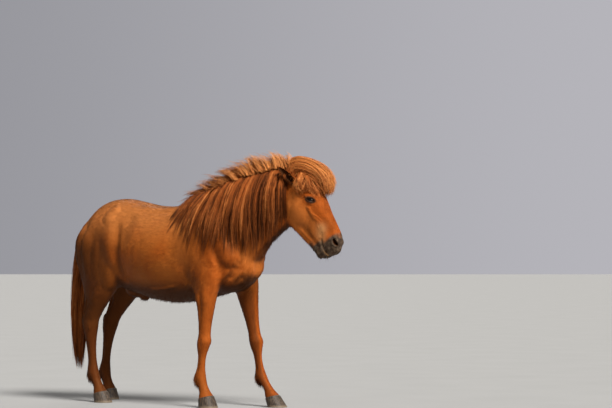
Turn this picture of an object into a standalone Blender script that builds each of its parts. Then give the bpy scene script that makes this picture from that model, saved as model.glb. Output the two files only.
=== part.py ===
"""A life-size still model of an Icelandic horse stallion, standing with the near foreleg straight,
the far foreleg a little ahead and the far hind leg a little behind, its head carried low.

Metres, +Z up. The horse faces +X, its right side is at -Y, and it stands on z = 0.
The flesh is modelled whole from lofted forms, then parted with thin cuts into the pieces that a
person would name. The mane, forelock and tail are flat, tapered locks fused to a core.
"""

import math
import random

import bmesh
import bpy
import numpy as np
from mathutils import Matrix, Vector
from mathutils.bvhtree import BVHTree

# Driving dimensions
CENTRE = Vector((0.231, 0.0, 0.0))  # the middle of the model's box, which becomes the origin
VOXEL = 0.0065  # grain of the clay that the lofted forms are pressed into
GAP = 0.0003  # air between two neighbouring pieces
RING_POINTS = 28  # points round a lofted section
HEAD_FROM = 1.0  # the face lies ahead of this
TRUNK_FACES = 3500  # triangles behind it
HEAD_FACES = 1200  # triangles of the face

# Hair
FULL_LOCKS = True  # locks over a core, or plain forms out to the tips
MANE_FROM, MANE_TO = 0.30, 0.965  # the crest that carries the mane, along X
MANE_LENGTH = ((0.0, 0.25), (0.3, 0.40), (0.7, 0.43), (1.0, 0.33))  # by share of the crest
# Height over the skin by share of the length: along the skin's normal on the right, where it falls
# close, and straight up on the left, where it is blown high over the crest
RIGHT_RISE = ((0.0, 0.022), (0.10, 0.032), (0.35, 0.030), (0.75, 0.022), (1.0, 0.012))
LEFT_RISE = (
    (0.0, 0.030), (0.06, 0.078), (0.14, 0.126), (0.25, 0.150), (0.40, 0.128), (0.60, 0.070), (1.0, 0.015)
)
CORE_REACH = 0.45  # share of the locks' length that the core takes
# Layers of locks on each side: how many locks, where they leave the core, height, width
LAYERS = {
    -1: ((14, 0.08, 1.06, 1.0), (11, 0.26, 0.88, 1.0)),
    1: ((14, 0.00, 1.00, 1.0), (6, 0.02, 1.03, 0.7)),
}
# How high the left side blows, by share of the crest
PUFF = ((0.0, 0.30), (0.15, 0.55), (0.40, 1.0), (0.75, 0.95), (1.0, 1.05))
FORELOCK_COUNT = 12
TAIL_COUNT = 12
# The forelock, blown forwards: outer and inner line on the head's midline, as down and front
FORELOCK_OUTER = (
    (-0.235, -0.060), (-0.300, 0.020), (-0.246, 0.106), (-0.142, 0.174), (-0.052, 0.188),
    (0.008, 0.156), (0.034, 0.112),
)
FORELOCK_INNER = (
    (-0.130, -0.050), (-0.160, -0.005), (-0.140, 0.035), (-0.100, 0.062), (-0.055, 0.076),
    (-0.012, 0.084), (0.024, 0.086),
)
# The tail: place, half width across and half depth, from the dock down
TAIL = (
    (-0.640, 1.190, 0.030, 0.030),
    (-0.700, 1.175, 0.036, 0.032),
    (-0.742, 1.100, 0.046, 0.036),
    (-0.768, 0.960, 0.060, 0.042),
    (-0.786, 0.780, 0.072, 0.046),
    (-0.793, 0.600, 0.072, 0.046),
    (-0.795, 0.430, 0.060, 0.042),
    (-0.792, 0.290, 0.040, 0.030),
    (-0.786, 0.190, 0.018, 0.016),
)

# The eye: its centre down from the eye line and to the front, its distance out, its radius, half
# the length and height of the lids' opening, and their slope against the head
EYE_PLACE = (0.004, 0.008)
EYE_OUT = 0.0640
EYE_RADIUS = 0.0255
EYE_OPENING = (0.0235, 0.0120)
EYE_TILT = math.radians(42)

# An ear: root and tip as down, front and out, then its sections by share of its length, radius,
# and how far round it closes to each side, in degrees
EAR_ROOT = (-0.140, -0.035, 0.056)
EAR_TIP = (-0.282, -0.062, 0.092)
EAR_STATIONS = (
    (0.00, 0.020, 150), (0.18, 0.0255, 140), (0.38, 0.0285, 122), (0.60, 0.0260, 106),
    (0.82, 0.0165, 92), (0.98, 0.0060, 80),
)
EAR_POINTS = 7

# The trunk, one line per station: x, height of the widest line, reach above it, reach below it,
# half width, roundness of the upper and of the lower half
TRUNK = (
    (-0.705, 1.030, 0.050, 0.070, 0.050, 2.0, 2.0),
    (-0.670, 1.030, 0.140, 0.130, 0.130, 2.0, 2.0),
    (-0.580, 1.035, 0.225, 0.200, 0.205, 2.1, 2.0),
    (-0.480, 1.040, 0.280, 0.260, 0.240, 2.2, 2.1),
    (-0.350, 1.040, 0.298, 0.300, 0.250, 2.2, 2.2),
    (-0.220, 1.010, 0.306, 0.305, 0.268, 2.1, 2.2),
    (-0.050, 0.965, 0.322, 0.300, 0.298, 2.0, 2.2),
    (0.100, 0.945, 0.342, 0.292, 0.300, 1.9, 2.2),
    (0.250, 0.945, 0.385, 0.275, 0.268, 1.75, 2.2),
    (0.360, 0.950, 0.405, 0.262, 0.242, 1.65, 2.2),
    (0.480, 0.955, 0.375, 0.242, 0.226, 1.7, 2.2),
    (0.580, 0.950, 0.300, 0.215, 0.192, 1.9, 2.2),
    (0.660, 0.945, 0.205, 0.165, 0.140, 2.0, 2.1),
    (0.715, 0.940, 0.100, 0.095, 0.085, 2.0, 2.0),
)

# The neck, one line per station: crest point x and z, throat point x and z, half width, swing to the left
NECK = (
    (0.300, 1.330, 0.640, 0.790, 0.185, 0.000),
    (0.430, 1.390, 0.735, 0.930, 0.172, 0.000),
    (0.560, 1.432, 0.795, 1.010, 0.140, 0.004),
    (0.700, 1.464, 0.862, 1.070, 0.117, 0.012),
    (0.830, 1.484, 0.925, 1.118, 0.102, 0.024),
    (0.940, 1.482, 0.980, 1.152, 0.092, 0.038),
    (1.030, 1.440, 1.030, 1.200, 0.080, 0.048),
)
CREST_POWER = 1.55  # below 2 makes the crest narrow
THROAT_POWER = 2.0

# The head hangs 30 degrees off plumb and looks 15 degrees to the horse's left
EYE_LINE = Vector((1.106, 0.060, 1.294))  # on the head's midline, level with the eyes
HEAD_PITCH = math.radians(30)
HEAD_YAW = math.radians(15)
HEAD_DOWN = Vector((
    math.cos(HEAD_YAW) * math.sin(HEAD_PITCH),
    math.sin(HEAD_YAW) * math.sin(HEAD_PITCH),
    -math.cos(HEAD_PITCH),
))
HEAD_FRONT = Vector((
    math.cos(HEAD_YAW) * math.cos(HEAD_PITCH),
    math.sin(HEAD_YAW) * math.cos(HEAD_PITCH),
    math.sin(HEAD_PITCH),
))
HEAD_LEFT = Vector((-math.sin(HEAD_YAW), math.cos(HEAD_YAW), 0.0))

# The skull from poll to lips, one line per station: distance down the head from the eyes, reach to
# the front, reach to the jaw, half width, front roundness, jaw roundness
SKULL = (
    (-0.205, -0.020, 0.060, 0.040, 2.0, 2.0),
    (-0.180, 0.015, 0.110, 0.066, 2.0, 2.0),
    (-0.130, 0.052, 0.150, 0.080, 2.2, 2.0),
    (-0.060, 0.076, 0.190, 0.089, 2.6, 1.8),
    (0.000, 0.080, 0.216, 0.090, 2.8, 1.7),
    (0.060, 0.076, 0.212, 0.080, 2.6, 1.65),
    (0.120, 0.070, 0.192, 0.067, 2.4, 1.6),
    (0.180, 0.067, 0.174, 0.057, 2.3, 1.6),
    (0.240, 0.063, 0.156, 0.051, 2.2, 1.7),
    (0.290, 0.052, 0.144, 0.054, 2.2, 1.9),
    (0.330, 0.026, 0.126, 0.048, 2.1, 2.1),
    (0.358, -0.010, 0.092, 0.030, 2.0, 2.0),
)

# A foreleg, one line per level: height, shift ahead of the leg's line, reach to the front, reach
# to the back, half width, distance out from the midline
FORELEG_X = 0.455
FORELEG = (
    (0.960, 0.020, 0.110, 0.100, 0.060, 0.130),
    (0.860, 0.010, 0.110, 0.118, 0.074, 0.158),
    (0.790, 0.000, 0.094, 0.118, 0.072, 0.166),
    (0.730, 0.000, 0.080, 0.096, 0.066, 0.164),
    (0.660, 0.000, 0.066, 0.076, 0.057, 0.161),
    (0.580, 0.000, 0.051, 0.058, 0.048, 0.158),
    (0.510, 0.000, 0.043, 0.046, 0.042, 0.156),
    (0.460, 0.000, 0.042, 0.042, 0.041, 0.155),
    (0.415, 0.002, 0.048, 0.048, 0.046, 0.155),
    (0.375, 0.000, 0.039, 0.046, 0.039, 0.155),
    (0.330, -0.002, 0.029, 0.036, 0.027, 0.154),
    (0.250, -0.004, 0.028, 0.035, 0.026, 0.153),
    (0.190, -0.002, 0.037, 0.046, 0.036, 0.153),
    (0.145, 0.018, 0.033, 0.036, 0.032, 0.153),
    (0.105, 0.040, 0.036, 0.038, 0.036, 0.153),
    (0.070, 0.055, 0.050, 0.050, 0.051, 0.153),
    (0.035, 0.066, 0.058, 0.056, 0.057, 0.153),
    (0.000, 0.077, 0.066, 0.062, 0.062, 0.153),
    (-0.020, 0.080, 0.066, 0.062, 0.062, 0.153),
)

# A hind leg with its thigh, in the same order, with the shift as the place along X
HINDLEG = (
    (1.200, -0.490, 0.130, 0.110, 0.070, 0.100),
    (1.120, -0.490, 0.205, 0.165, 0.105, 0.120),
    (1.020, -0.480, 0.226, 0.200, 0.120, 0.134),
    (0.920, -0.465, 0.212, 0.200, 0.112, 0.144),
    (0.830, -0.450, 0.182, 0.180, 0.098, 0.152),
    (0.750, -0.462, 0.142, 0.145, 0.083, 0.155),
    (0.670, -0.492, 0.102, 0.106, 0.067, 0.155),
    (0.590, -0.530, 0.072, 0.080, 0.052, 0.153),
    (0.540, -0.550, 0.060, 0.078, 0.044, 0.151),
    (0.490, -0.560, 0.056, 0.064, 0.043, 0.149),
    (0.430, -0.562, 0.045, 0.046, 0.037, 0.147),
    (0.350, -0.558, 0.034, 0.039, 0.029, 0.145),
    (0.260, -0.552, 0.032, 0.038, 0.028, 0.143),
    (0.190, -0.546, 0.040, 0.048, 0.037, 0.142),
    (0.145, -0.526, 0.034, 0.037, 0.033, 0.142),
    (0.105, -0.504, 0.037, 0.038, 0.036, 0.142),
    (0.070, -0.489, 0.049, 0.049, 0.049, 0.142),
    (0.035, -0.479, 0.057, 0.054, 0.054, 0.142),
    (0.000, -0.468, 0.064, 0.058, 0.058, 0.142),
    (-0.020, -0.465, 0.064, 0.058, 0.058, 0.142),
)

# How far each foot is carried from square, and the height where its leg starts to swing
RIGHT, LEFT = -1, 1
WORLD = (Vector((1, 0, 0)), Vector((0, 1, 0)), Vector((0, 0, 1)))
STRIDE = {
    ("fore", RIGHT): (-0.090, 0.82),
    ("fore", LEFT): (0.225, 0.97),
    ("hind", RIGHT): (0.020, 0.95),
    ("hind", LEFT): (-0.170, 0.95),
}

# Muscles, folds and bones of one side, modelled by pressing along a path. Each line holds the
# width of the stroke, its height (below 0 for a groove) and the path
BODY_STROKES = (
    (0.120, 0.014, ((0.430, 0.20, 1.240), (0.510, 0.20, 1.100), (0.570, 0.20, 1.010))),  # shoulder blade
    (0.085, 0.026, ((0.585, 0.17, 1.000), (0.610, 0.17, 0.950))),  # point of the shoulder
    (0.100, 0.014, ((0.500, 0.22, 0.930), (0.400, 0.22, 0.860))),  # upper arm
    (0.070, -0.009, ((0.330, 0.25, 1.120), (0.320, 0.25, 0.960), (0.345, 0.25, 0.820))),  # behind the arm
    (0.045, -0.010, ((0.530, 0.20, 0.980), (0.575, 0.20, 0.900), (0.560, 0.20, 0.810))),  # before the arm
    (0.070, -0.010, ((0.500, 0.20, 1.300), (0.600, 0.20, 1.130), (0.680, 0.14, 1.010))),  # root of the neck
    (0.080, 0.008, ((0.690, 0.050, 0.920), (0.650, 0.060, 0.820))),  # breast muscle
    (0.040, -0.013, ((0.660, 0.120, 0.900), (0.600, 0.140, 0.780))),  # between breast and arm
    (0.110, -0.012, ((-0.180, 0.24, 1.180), (-0.190, 0.24, 1.080))),  # hollow of the flank
    (0.060, 0.012, ((-0.320, 0.20, 1.265), (-0.345, 0.22, 1.215))),  # point of the hip
    (0.060, -0.013, (
        (-0.262, 0.25, 1.200), (-0.248, 0.25, 1.040), (-0.225, 0.25, 0.930), (-0.205, 0.22, 0.810)
    )),  # before the thigh
    (0.090, 0.012, ((-0.330, 0.25, 1.140), (-0.320, 0.25, 0.980), (-0.320, 0.22, 0.840))),  # thigh, front
    (0.065, 0.010, ((-0.330, 0.20, 0.840), (-0.345, 0.20, 0.780))),  # kneecap
    (0.045, -0.007, ((-0.560, 0.20, 1.200), (-0.575, 0.22, 1.000), (-0.545, 0.20, 0.800))),  # thigh, back
    (0.070, 0.008, ((-0.630, 0.15, 1.120), (-0.620, 0.15, 0.920))),  # buttock
    (0.055, -0.004, ((-0.450, 0.23, 1.160), (-0.465, 0.25, 0.980), (-0.430, 0.22, 0.800))),  # thigh
    (0.060, 0.008, ((0.150, 0.12, 1.280), (-0.160, 0.12, 1.270))),  # loin beside the spine
    (0.050, -0.008, ((0.960, 0.07, 1.240), (0.860, 0.08, 1.110), (0.730, 0.10, 1.000))),  # gullet groove
    (0.080, 0.008, ((0.900, 0.10, 1.360), (0.740, 0.12, 1.240), (0.600, 0.18, 1.130))),  # side of the neck
)

# The same for the legs: pair, width, height, then the path as shift ahead of the leg's line,
# distance out from its middle, and height
LEG_STROKES = (
    ("fore", 0.040, 0.009, ((0.030, 0.06, 0.740), (0.020, 0.06, 0.640))),  # forearm, outer front
    ("fore", 0.040, 0.007, ((-0.050, 0.05, 0.720), (-0.040, 0.05, 0.640))),  # forearm, outer back
    ("fore", 0.016, -0.005, ((-0.012, 0.06, 0.720), (-0.014, 0.05, 0.560))),  # between them
    ("fore", 0.016, 0.005, ((-0.050, 0.00, 0.408), (-0.052, 0.00, 0.390))),  # bone at the back of the knee
    ("fore", 0.014, -0.004, ((0.000, 0.05, 0.440), (0.000, 0.05, 0.385))),  # side of the knee
    ("fore", 0.012, -0.0045, ((-0.014, 0.04, 0.350), (-0.016, 0.04, 0.230))),  # before the tendon
    ("fore", 0.012, -0.0045, ((-0.014, -0.04, 0.350), (-0.016, -0.04, 0.230))),
    ("fore", 0.018, 0.006, ((-0.044, 0.00, 0.185), (-0.030, 0.00, 0.165))),  # back of the fetlock
    ("hind", 0.040, 0.008, ((0.040, 0.06, 0.740), (0.010, 0.06, 0.640))),  # gaskin
    ("hind", 0.018, -0.008, ((-0.045, 0.05, 0.680), (-0.048, 0.04, 0.570))),  # before the hamstring
    ("hind", 0.018, -0.008, ((-0.045, -0.05, 0.680), (-0.048, -0.04, 0.570))),
    ("hind", 0.022, 0.009, ((-0.075, 0.00, 0.560), (-0.072, 0.00, 0.535))),  # point of the hock
    ("hind", 0.016, 0.004, ((0.020, 0.05, 0.510), (0.020, 0.05, 0.470))),  # side of the hock
    ("hind", 0.012, -0.0045, ((-0.014, 0.04, 0.390), (-0.016, 0.04, 0.240))),  # before the tendon
    ("hind", 0.012, -0.0045, ((-0.014, -0.04, 0.390), (-0.016, -0.04, 0.240))),
    ("hind", 0.018, 0.006, ((-0.046, 0.00, 0.185), (-0.032, 0.00, 0.165))),  # back of the fetlock
)

# The same for one side of the head: width, height, then the path as down, front and out
HEAD_STROKES = (
    (0.024, 0.006, ((-0.030, -0.016, 0.09), (-0.026, 0.016, 0.09), (-0.012, 0.040, 0.08))),  # brow
    (0.034, -0.008, ((-0.066, 0.010, 0.09), (-0.058, 0.030, 0.09))),  # hollow above the eye
    (0.012, -0.003, ((0.020, -0.026, 0.09), (0.030, 0.000, 0.09), (0.026, 0.030, 0.08))),  # below the eye
    (0.020, 0.004, ((0.040, -0.024, 0.09), (0.085, -0.026, 0.08), (0.140, -0.018, 0.07))),  # cheekbone
    (0.085, 0.007, ((-0.010, -0.120, 0.08), (0.050, -0.110, 0.08))),  # cheek
    (0.030, -0.005, ((0.080, -0.050, 0.08), (0.116, -0.090, 0.07), (0.116, -0.150, 0.05))),  # under it
    (0.022, -0.006, ((0.100, -0.145, 0.05), (0.180, -0.125, 0.05), (0.270, -0.104, 0.05))),  # along the jaw
    (0.020, 0.002, ((0.060, 0.055, 0.05), (0.150, 0.050, 0.04), (0.230, 0.044, 0.03))),  # nose bone
    (0.032, -0.004, ((0.120, 0.015, 0.07), (0.190, 0.015, 0.06), (0.250, 0.008, 0.06))),  # beside the nose
    (0.018, 0.005, ((0.272, 0.030, 0.05), (0.296, 0.038, 0.05), (0.326, 0.026, 0.05))),  # nostril, front
    (0.018, 0.004, ((0.286, -0.010, 0.06), (0.322, -0.012, 0.06))),  # nostril, rear
    (0.009, -0.007, (
        (0.240, -0.058, 0.06), (0.280, -0.070, 0.06), (0.320, -0.080, 0.05), (0.352, -0.080, 0.00)
    )),  # line of the mouth
    (0.016, 0.003, ((0.260, -0.090, 0.06), (0.310, -0.102, 0.05), (0.340, -0.100, 0.02))),  # lower lip
    (0.016, 0.002, ((0.260, -0.044, 0.06), (0.310, -0.054, 0.05), (0.344, -0.054, 0.02))),  # upper lip
    (0.040, -0.008, ((-0.110, -0.130, 0.08), (-0.040, -0.190, 0.08), (0.010, -0.225, 0.05))),  # behind it
)


def clear_scene():
    for thing in list(bpy.data.objects):
        bpy.data.objects.remove(thing, do_unlink=True)


def spline_rows(rows, count):
    """Rows read evenly from a smooth curve through the given rows, spaced by their first three columns."""
    rows = np.array(rows, float)
    steps = np.linalg.norm(np.diff(rows[:, :3], axis=0), axis=1)
    places = np.concatenate([[0.0], np.cumsum(steps)])
    slopes = np.gradient(rows, places, axis=0)
    wanted = np.linspace(0.0, places[-1], count)
    spans = np.clip(np.searchsorted(places, wanted, side="right") - 1, 0, len(rows) - 2)
    width = (places[spans + 1] - places[spans])[:, None]
    u = ((wanted - places[spans])[:, None]) / width
    return (
        rows[spans] * (1 + 2 * u) * (1 - u) ** 2
        + slopes[spans] * width * u * (1 - u) ** 2
        + rows[spans + 1] * u * u * (3 - 2 * u)
        + slopes[spans + 1] * width * u * u * (u - 1)
    )


def section_ring(centre, side, rise, half_width, above, below, upper_power, lower_power):
    """A rounded section: a superellipse whose upper and lower halves differ in reach and roundness."""
    ring = []
    for step in range(RING_POINTS):
        turn = 2 * math.pi * step / RING_POINTS
        across, up = math.cos(turn), math.sin(turn)
        power = upper_power if up >= 0 else lower_power
        reach = above if up >= 0 else below
        ring.append(
            centre
            + side * (half_width * math.copysign(abs(across) ** (2 / power), across))
            + rise * (reach * math.copysign(abs(up) ** (2 / power), up))
        )
    return ring


def loft(name, rings):
    """A closed skin over rings of points, one after another, with flat ends."""
    mesh = bmesh.new()
    loops = [[mesh.verts.new(point) for point in ring] for ring in rings]
    count = len(loops[0])
    for first, second in zip(loops, loops[1:]):
        for i in range(count):
            j = (i + 1) % count
            mesh.faces.new((first[i], first[j], second[j], second[i]))
    mesh.faces.new(loops[0][::-1])
    mesh.faces.new(loops[-1])
    bmesh.ops.recalc_face_normals(mesh, faces=mesh.faces)
    return from_mesh(name, mesh)


def trunk_form():
    rings = []
    for x, z, above, below, half, upper, lower in spline_rows(TRUNK, 60):
        rings.append(section_ring(
            Vector((x, 0, z)), Vector((0, -1, 0)), Vector((0, 0, 1)), half, above, below, upper, lower
        ))
    return loft("trunk_form", rings)


def neck_form():
    rings = []
    for crest_x, crest_z, throat_x, throat_z, half, swing in spline_rows(NECK, 36):
        crest = Vector((crest_x, swing, crest_z))
        throat = Vector((throat_x, swing, throat_z))
        rise = crest - throat
        reach = rise.length
        middle = throat + rise * 0.45
        rings.append(section_ring(
            middle, Vector((0, -1, 0)), rise.normalized(), half,
            reach * 0.55, reach * 0.45, CREST_POWER, THROAT_POWER,
        ))
    return loft("neck_form", rings)


def head_point(down, front, left):
    """A place on the head: down from the eyes to the lips, towards the front, and to the horse's left."""
    return EYE_LINE + HEAD_DOWN * down + HEAD_FRONT * front + HEAD_LEFT * left


def skull_form():
    rings = []
    for down, front, back, half, upper, lower in spline_rows(SKULL, 44):
        rings.append(section_ring(
            head_point(down, 0, 0), HEAD_LEFT, HEAD_FRONT, half, front, back, upper, lower
        ))
    return loft("skull_form", rings)


def leg_shift(pair, side, height):
    stride, hinge = STRIDE[(pair, side)]
    return stride * max(0.0, 1 - height / hinge)


def leg_form(pair, side):
    rows = [(h, shift, out, front, back, half) for h, shift, front, back, half, out in
            (FORELEG if pair == "fore" else HINDLEG)]
    start = FORELEG_X if pair == "fore" else 0.0
    rings = []
    for height, shift, out, front, back, half in spline_rows(rows, 64):
        middle = Vector((start + shift + leg_shift(pair, side, height), side * out, height))
        rings.append(section_ring(
            middle, Vector((0, 1, 0)), Vector((1, 0, 0)), half, front, back, 2.0, 2.0
        ))
    return loft(f"{pair}leg_form", rings)


def ellipsoid(name, place, sizes, axes=None):
    """A stretched ball of clay. axes are its three directions where they aren't the world's."""
    bpy.ops.mesh.primitive_uv_sphere_add(segments=20, ring_count=12, radius=1.0)
    made = bpy.context.object
    made.name = name
    made.data.transform(turned_to(Vector(place), axes or WORLD, sizes))
    return made


def head_clay():
    """The forms that stand out of the skull: the eye's surround, the muzzle and the chin."""
    head_axes = (HEAD_DOWN, HEAD_FRONT, HEAD_LEFT)
    forms = []
    for side in (RIGHT, LEFT):
        forms.append(ellipsoid(
            "eye_surround", head_point(0.004, 0.006, side * 0.064), (0.038, 0.034, 0.034), head_axes
        ))
        forms.append(ellipsoid(
            "nostril_wing", head_point(0.298, 0.002, side * 0.030), (0.036, 0.038, 0.027), head_axes
        ))
    forms.append(ellipsoid("upper_lip", head_point(0.334, -0.026, 0), (0.034, 0.044, 0.042), head_axes))
    forms.append(ellipsoid("chin", head_point(0.306, -0.116, 0), (0.034, 0.030, 0.034), head_axes))
    return forms


def sheath_clay():
    """The sheath under the belly."""
    return [
        ellipsoid("sheath_root", (-0.270, 0, 0.735), (0.110, 0.055, 0.055)),
        ellipsoid("sheath_lip", (-0.210, 0, 0.700), (0.050, 0.034, 0.040)),
    ]


def pressed(forms, name, voxel):
    """The forms pressed into one closed body."""
    bpy.ops.object.select_all(action="DESELECT")
    for form in forms:
        form.select_set(True)
    bpy.context.view_layer.objects.active = forms[0]
    bpy.ops.object.join()
    clay = bpy.context.object
    clay.name = name
    remesh = clay.modifiers.new("press", "REMESH")
    remesh.mode = "VOXEL"
    remesh.voxel_size = voxel
    bpy.ops.object.modifier_apply(modifier=remesh.name)
    return clay


def places_of(thing):
    places = np.empty(len(thing.data.vertices) * 3)
    thing.data.vertices.foreach_get("co", places)
    return places.reshape(-1, 3)


def set_places(thing, places):
    thing.data.vertices.foreach_set("co", places.ravel())
    thing.data.update()


def relaxed(thing, rounds, weight):
    """Smooths the clay without shrinking it. weight is a number from 0 to 1 for each point."""
    places = places_of(thing)
    edges = np.empty(len(thing.data.edges) * 2, np.int64)
    thing.data.edges.foreach_get("vertices", edges)
    first, second = edges.reshape(-1, 2).T
    count = len(places)
    degree = np.bincount(first, minlength=count) + np.bincount(second, minlength=count)
    for turn in range(rounds * 2):
        pull = (0.55, -0.57)[turn % 2]
        mean = np.empty_like(places)
        for axis in range(3):
            column = places[:, axis]
            mean[:, axis] = (
                np.bincount(first, column[second], count) + np.bincount(second, column[first], count)
            ) / degree
        places = places + (mean - places) * (pull * weight)[:, None]
    set_places(thing, places)


def melted(thing, rounds, weight):
    """Plain smoothing, which rounds off the creases where two forms meet."""
    places = places_of(thing)
    edges = np.empty(len(thing.data.edges) * 2, np.int64)
    thing.data.edges.foreach_get("vertices", edges)
    first, second = edges.reshape(-1, 2).T
    count = len(places)
    degree = np.bincount(first, minlength=count) + np.bincount(second, minlength=count)
    for _ in range(rounds):
        mean = np.empty_like(places)
        for axis in range(3):
            column = places[:, axis]
            mean[:, axis] = (
                np.bincount(first, column[second], count) + np.bincount(second, column[first], count)
            ) / degree
        places = places + (mean - places) * (0.5 * weight)[:, None]
    set_places(thing, places)


def ramp(values, start, end):
    """0 before start, 1 after end, and smooth between them."""
    share = np.clip((values - start) / (end - start), 0, 1)
    return share * share * (3 - 2 * share)


def surface_of(thing):
    mesh = bmesh.new()
    mesh.from_mesh(thing.data)
    tree = BVHTree.FromBMesh(mesh)
    mesh.free()
    return tree


def normals_of(thing):
    normals = np.empty(len(thing.data.vertices) * 3)
    thing.data.vertices.foreach_get("normal", normals)
    return normals.reshape(-1, 3)


def stroked(places, normals, tree, width, height, path):
    """Presses the points near a path outwards, or inwards where height is below 0, fading at its ends."""
    path = [np.array(tree.find_nearest(Vector(point))[0]) for point in path]
    total = sum(float(np.linalg.norm(end - start)) for start, end in zip(path, path[1:]))
    near = np.full(len(places), 1e9)
    reached = np.zeros(len(places))
    done = 0.0
    for start, end in zip(path, path[1:]):
        along = end - start
        length = float(np.linalg.norm(along))
        share = np.clip((places - start) @ along / max(length * length, 1e-12), -0.6, 1.6)
        gap = places - (start + np.clip(share, 0, 1)[:, None] * along)
        apart = (gap * gap).sum(axis=1)
        closer = apart < near
        near = np.where(closer, apart, near)
        reached = np.where(closer, done + np.clip(share, 0, 1) * length, reached)
        done += length
    fade = min(width, total * 0.4)
    ends = 1.0
    if total > width * 1.3:
        ends = ramp(reached, -fade * 0.7, fade) * ramp(total - reached, -fade * 0.7, fade)
    push = np.clip(1 - near / (width * width), 0, None) ** 2 * (height * ends)
    return places + normals * push[:, None]


def all_strokes():
    """Every stroke, on both sides of the horse, as width, height and path in world places."""
    for side in (RIGHT, LEFT):
        for width, height, path in BODY_STROKES:
            yield width, height, [(x, side * y + neck_swing(x, z), z) for x, y, z in path]
        for width, height, path in HEAD_STROKES:
            yield width, height, [head_point(down, front, side * out) for down, front, out in path]
        for pair, width, height, path in LEG_STROKES:
            yield width, height, [leg_place(pair, side, ahead, out, level) for ahead, out, level in path]


def neck_swing(x, z):
    """How far the neck has swung to the left at this place. Nothing on the trunk."""
    if z < 1.0 or x < 0.56:
        return 0.0
    return float(np.interp(x, [row[0] for row in NECK], [row[5] for row in NECK]))


def leg_place(pair, side, ahead, out, level):
    """A place on a leg, from its own line at that height."""
    rows = FORELEG if pair == "fore" else HINDLEG
    levels = [row[0] for row in rows][::-1]
    shift = float(np.interp(level, levels, [row[1] for row in rows][::-1]))
    centre = float(np.interp(level, levels, [row[5] for row in rows][::-1]))
    start = FORELEG_X if pair == "fore" else 0.0
    return (start + shift + leg_shift(pair, side, level) + ahead, side * (centre + out), level)


def make_body():
    clay = [trunk_form(), neck_form(), skull_form()] + head_clay() + sheath_clay()
    for pair, side in STRIDE:
        clay.append(leg_form(pair, side))
    body = pressed(clay, "body", VOXEL)
    places = places_of(body)
    down_head = (places - np.array(EYE_LINE)) @ np.array(HEAD_DOWN)
    front_head = (places - np.array(EYE_LINE)) @ np.array(HEAD_FRONT)
    on_face = ramp(down_head, -0.10, -0.04) * ramp(front_head, -0.23, -0.17) * ramp(places[:, 0], 0.9, 0.95)
    on_leg = 1 - ramp(places[:, 2], 0.60, 0.78)
    on_sheath = np.exp(-((places - np.array((-0.24, 0, 0.71))) ** 2).sum(axis=1) / 0.012)
    melted(body, 45, (1 - on_face) * (1 - on_leg) * (1 - 0.9 * on_sheath))
    melted(body, 4, np.ones(len(places)))
    relaxed(body, 8, np.ones(len(places)))
    places = places_of(body)
    tree = surface_of(body)
    normals = normals_of(body)
    for width, height, path in all_strokes():
        places = stroked(places, normals, tree, width, height, path)
    set_places(body, places)
    relaxed(body, 2, np.ones(len(places)))
    return body


def from_mesh(name, mesh):
    """An object holding the mesh, in the scene."""
    data = bpy.data.meshes.new(name)
    mesh.to_mesh(data)
    mesh.free()
    made = bpy.data.objects.new(name, data)
    bpy.context.scene.collection.objects.link(made)
    return made


def turned_to(centre, axes, sizes):
    """The transform that takes a unit form to a centre, three directions and a size along each."""
    turn = Matrix([list(axis) for axis in axes]).transposed()
    return Matrix.Translation(centre) @ turn.to_4x4() @ Matrix.Diagonal((*sizes, 1.0))


def box(name, centre, axes, half_sizes):
    """A block, by its centre, its three directions and half its size along each."""
    mesh = bmesh.new()
    bmesh.ops.create_cube(mesh, size=2.0)
    mesh.transform(turned_to(centre, axes, half_sizes))
    mesh.normal_update()
    bmesh.ops.recalc_face_normals(mesh, faces=mesh.faces)
    return from_mesh(name, mesh)


def solid_from(name, points, faces):
    """A closed body from points and faces, turned outside out."""
    mesh = bmesh.new()
    corners = [mesh.verts.new(point) for point in points]
    for face in faces:
        mesh.faces.new([corners[index] for index in face])
    bmesh.ops.recalc_face_normals(mesh, faces=mesh.faces)
    return from_mesh(name, mesh)


def slab(name, centre, normal, along, half_along, half_across):
    """A thin cut: a block as thick as the gap between two pieces."""
    normal = normal.normalized()
    along = (along - normal * along.dot(normal)).normalized()
    across = normal.cross(along)
    return box(name, centre, (normal, along, across), (GAP / 2, half_along, half_across))


def is_closed(data):
    mesh = bmesh.new()
    mesh.from_mesh(data)
    closed = len(mesh.faces) > 0 and all(edge.is_manifold for edge in mesh.edges)
    mesh.free()
    return closed


def boolean(target, tool, operation, solvers=("EXACT", "MANIFOLD")):
    """Joins the tool to the target, or cuts it away, and removes the tool."""
    before = target.data.copy()
    for solver in solvers:
        step = target.modifiers.new("step", "BOOLEAN")
        step.operation = operation
        step.solver = solver
        step.object = tool
        bpy.ops.object.select_all(action="DESELECT")
        bpy.context.view_layer.objects.active = target
        target.select_set(True)
        bpy.ops.object.modifier_apply(modifier=step.name)
        if is_closed(target.data):
            break
        target.data = before.copy()
    bpy.data.objects.remove(tool, do_unlink=True)


def joined(things, name):
    bpy.ops.object.select_all(action="DESELECT")
    for thing in things:
        thing.select_set(True)
    bpy.context.view_layer.objects.active = things[0]
    bpy.ops.object.join()
    made = bpy.context.object
    made.name = name
    return made


def thinned(body, chosen, faces_left):
    """Fewer faces among the chosen points, until the whole has as many as given."""
    group = body.vertex_groups.new(name="thin")
    group.add(np.nonzero(chosen)[0].tolist(), 1.0, "REPLACE")
    step = body.modifiers.new("thin", "DECIMATE")
    step.vertex_group = "thin"
    triangles = sum(len(face.vertices) - 2 for face in body.data.polygons)
    step.ratio = faces_left / triangles
    step.use_collapse_triangulate = True
    bpy.ops.object.select_all(action="DESELECT")
    bpy.context.view_layer.objects.active = body
    body.select_set(True)
    bpy.ops.object.modifier_apply(modifier=step.name)
    body.vertex_groups.clear()


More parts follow.
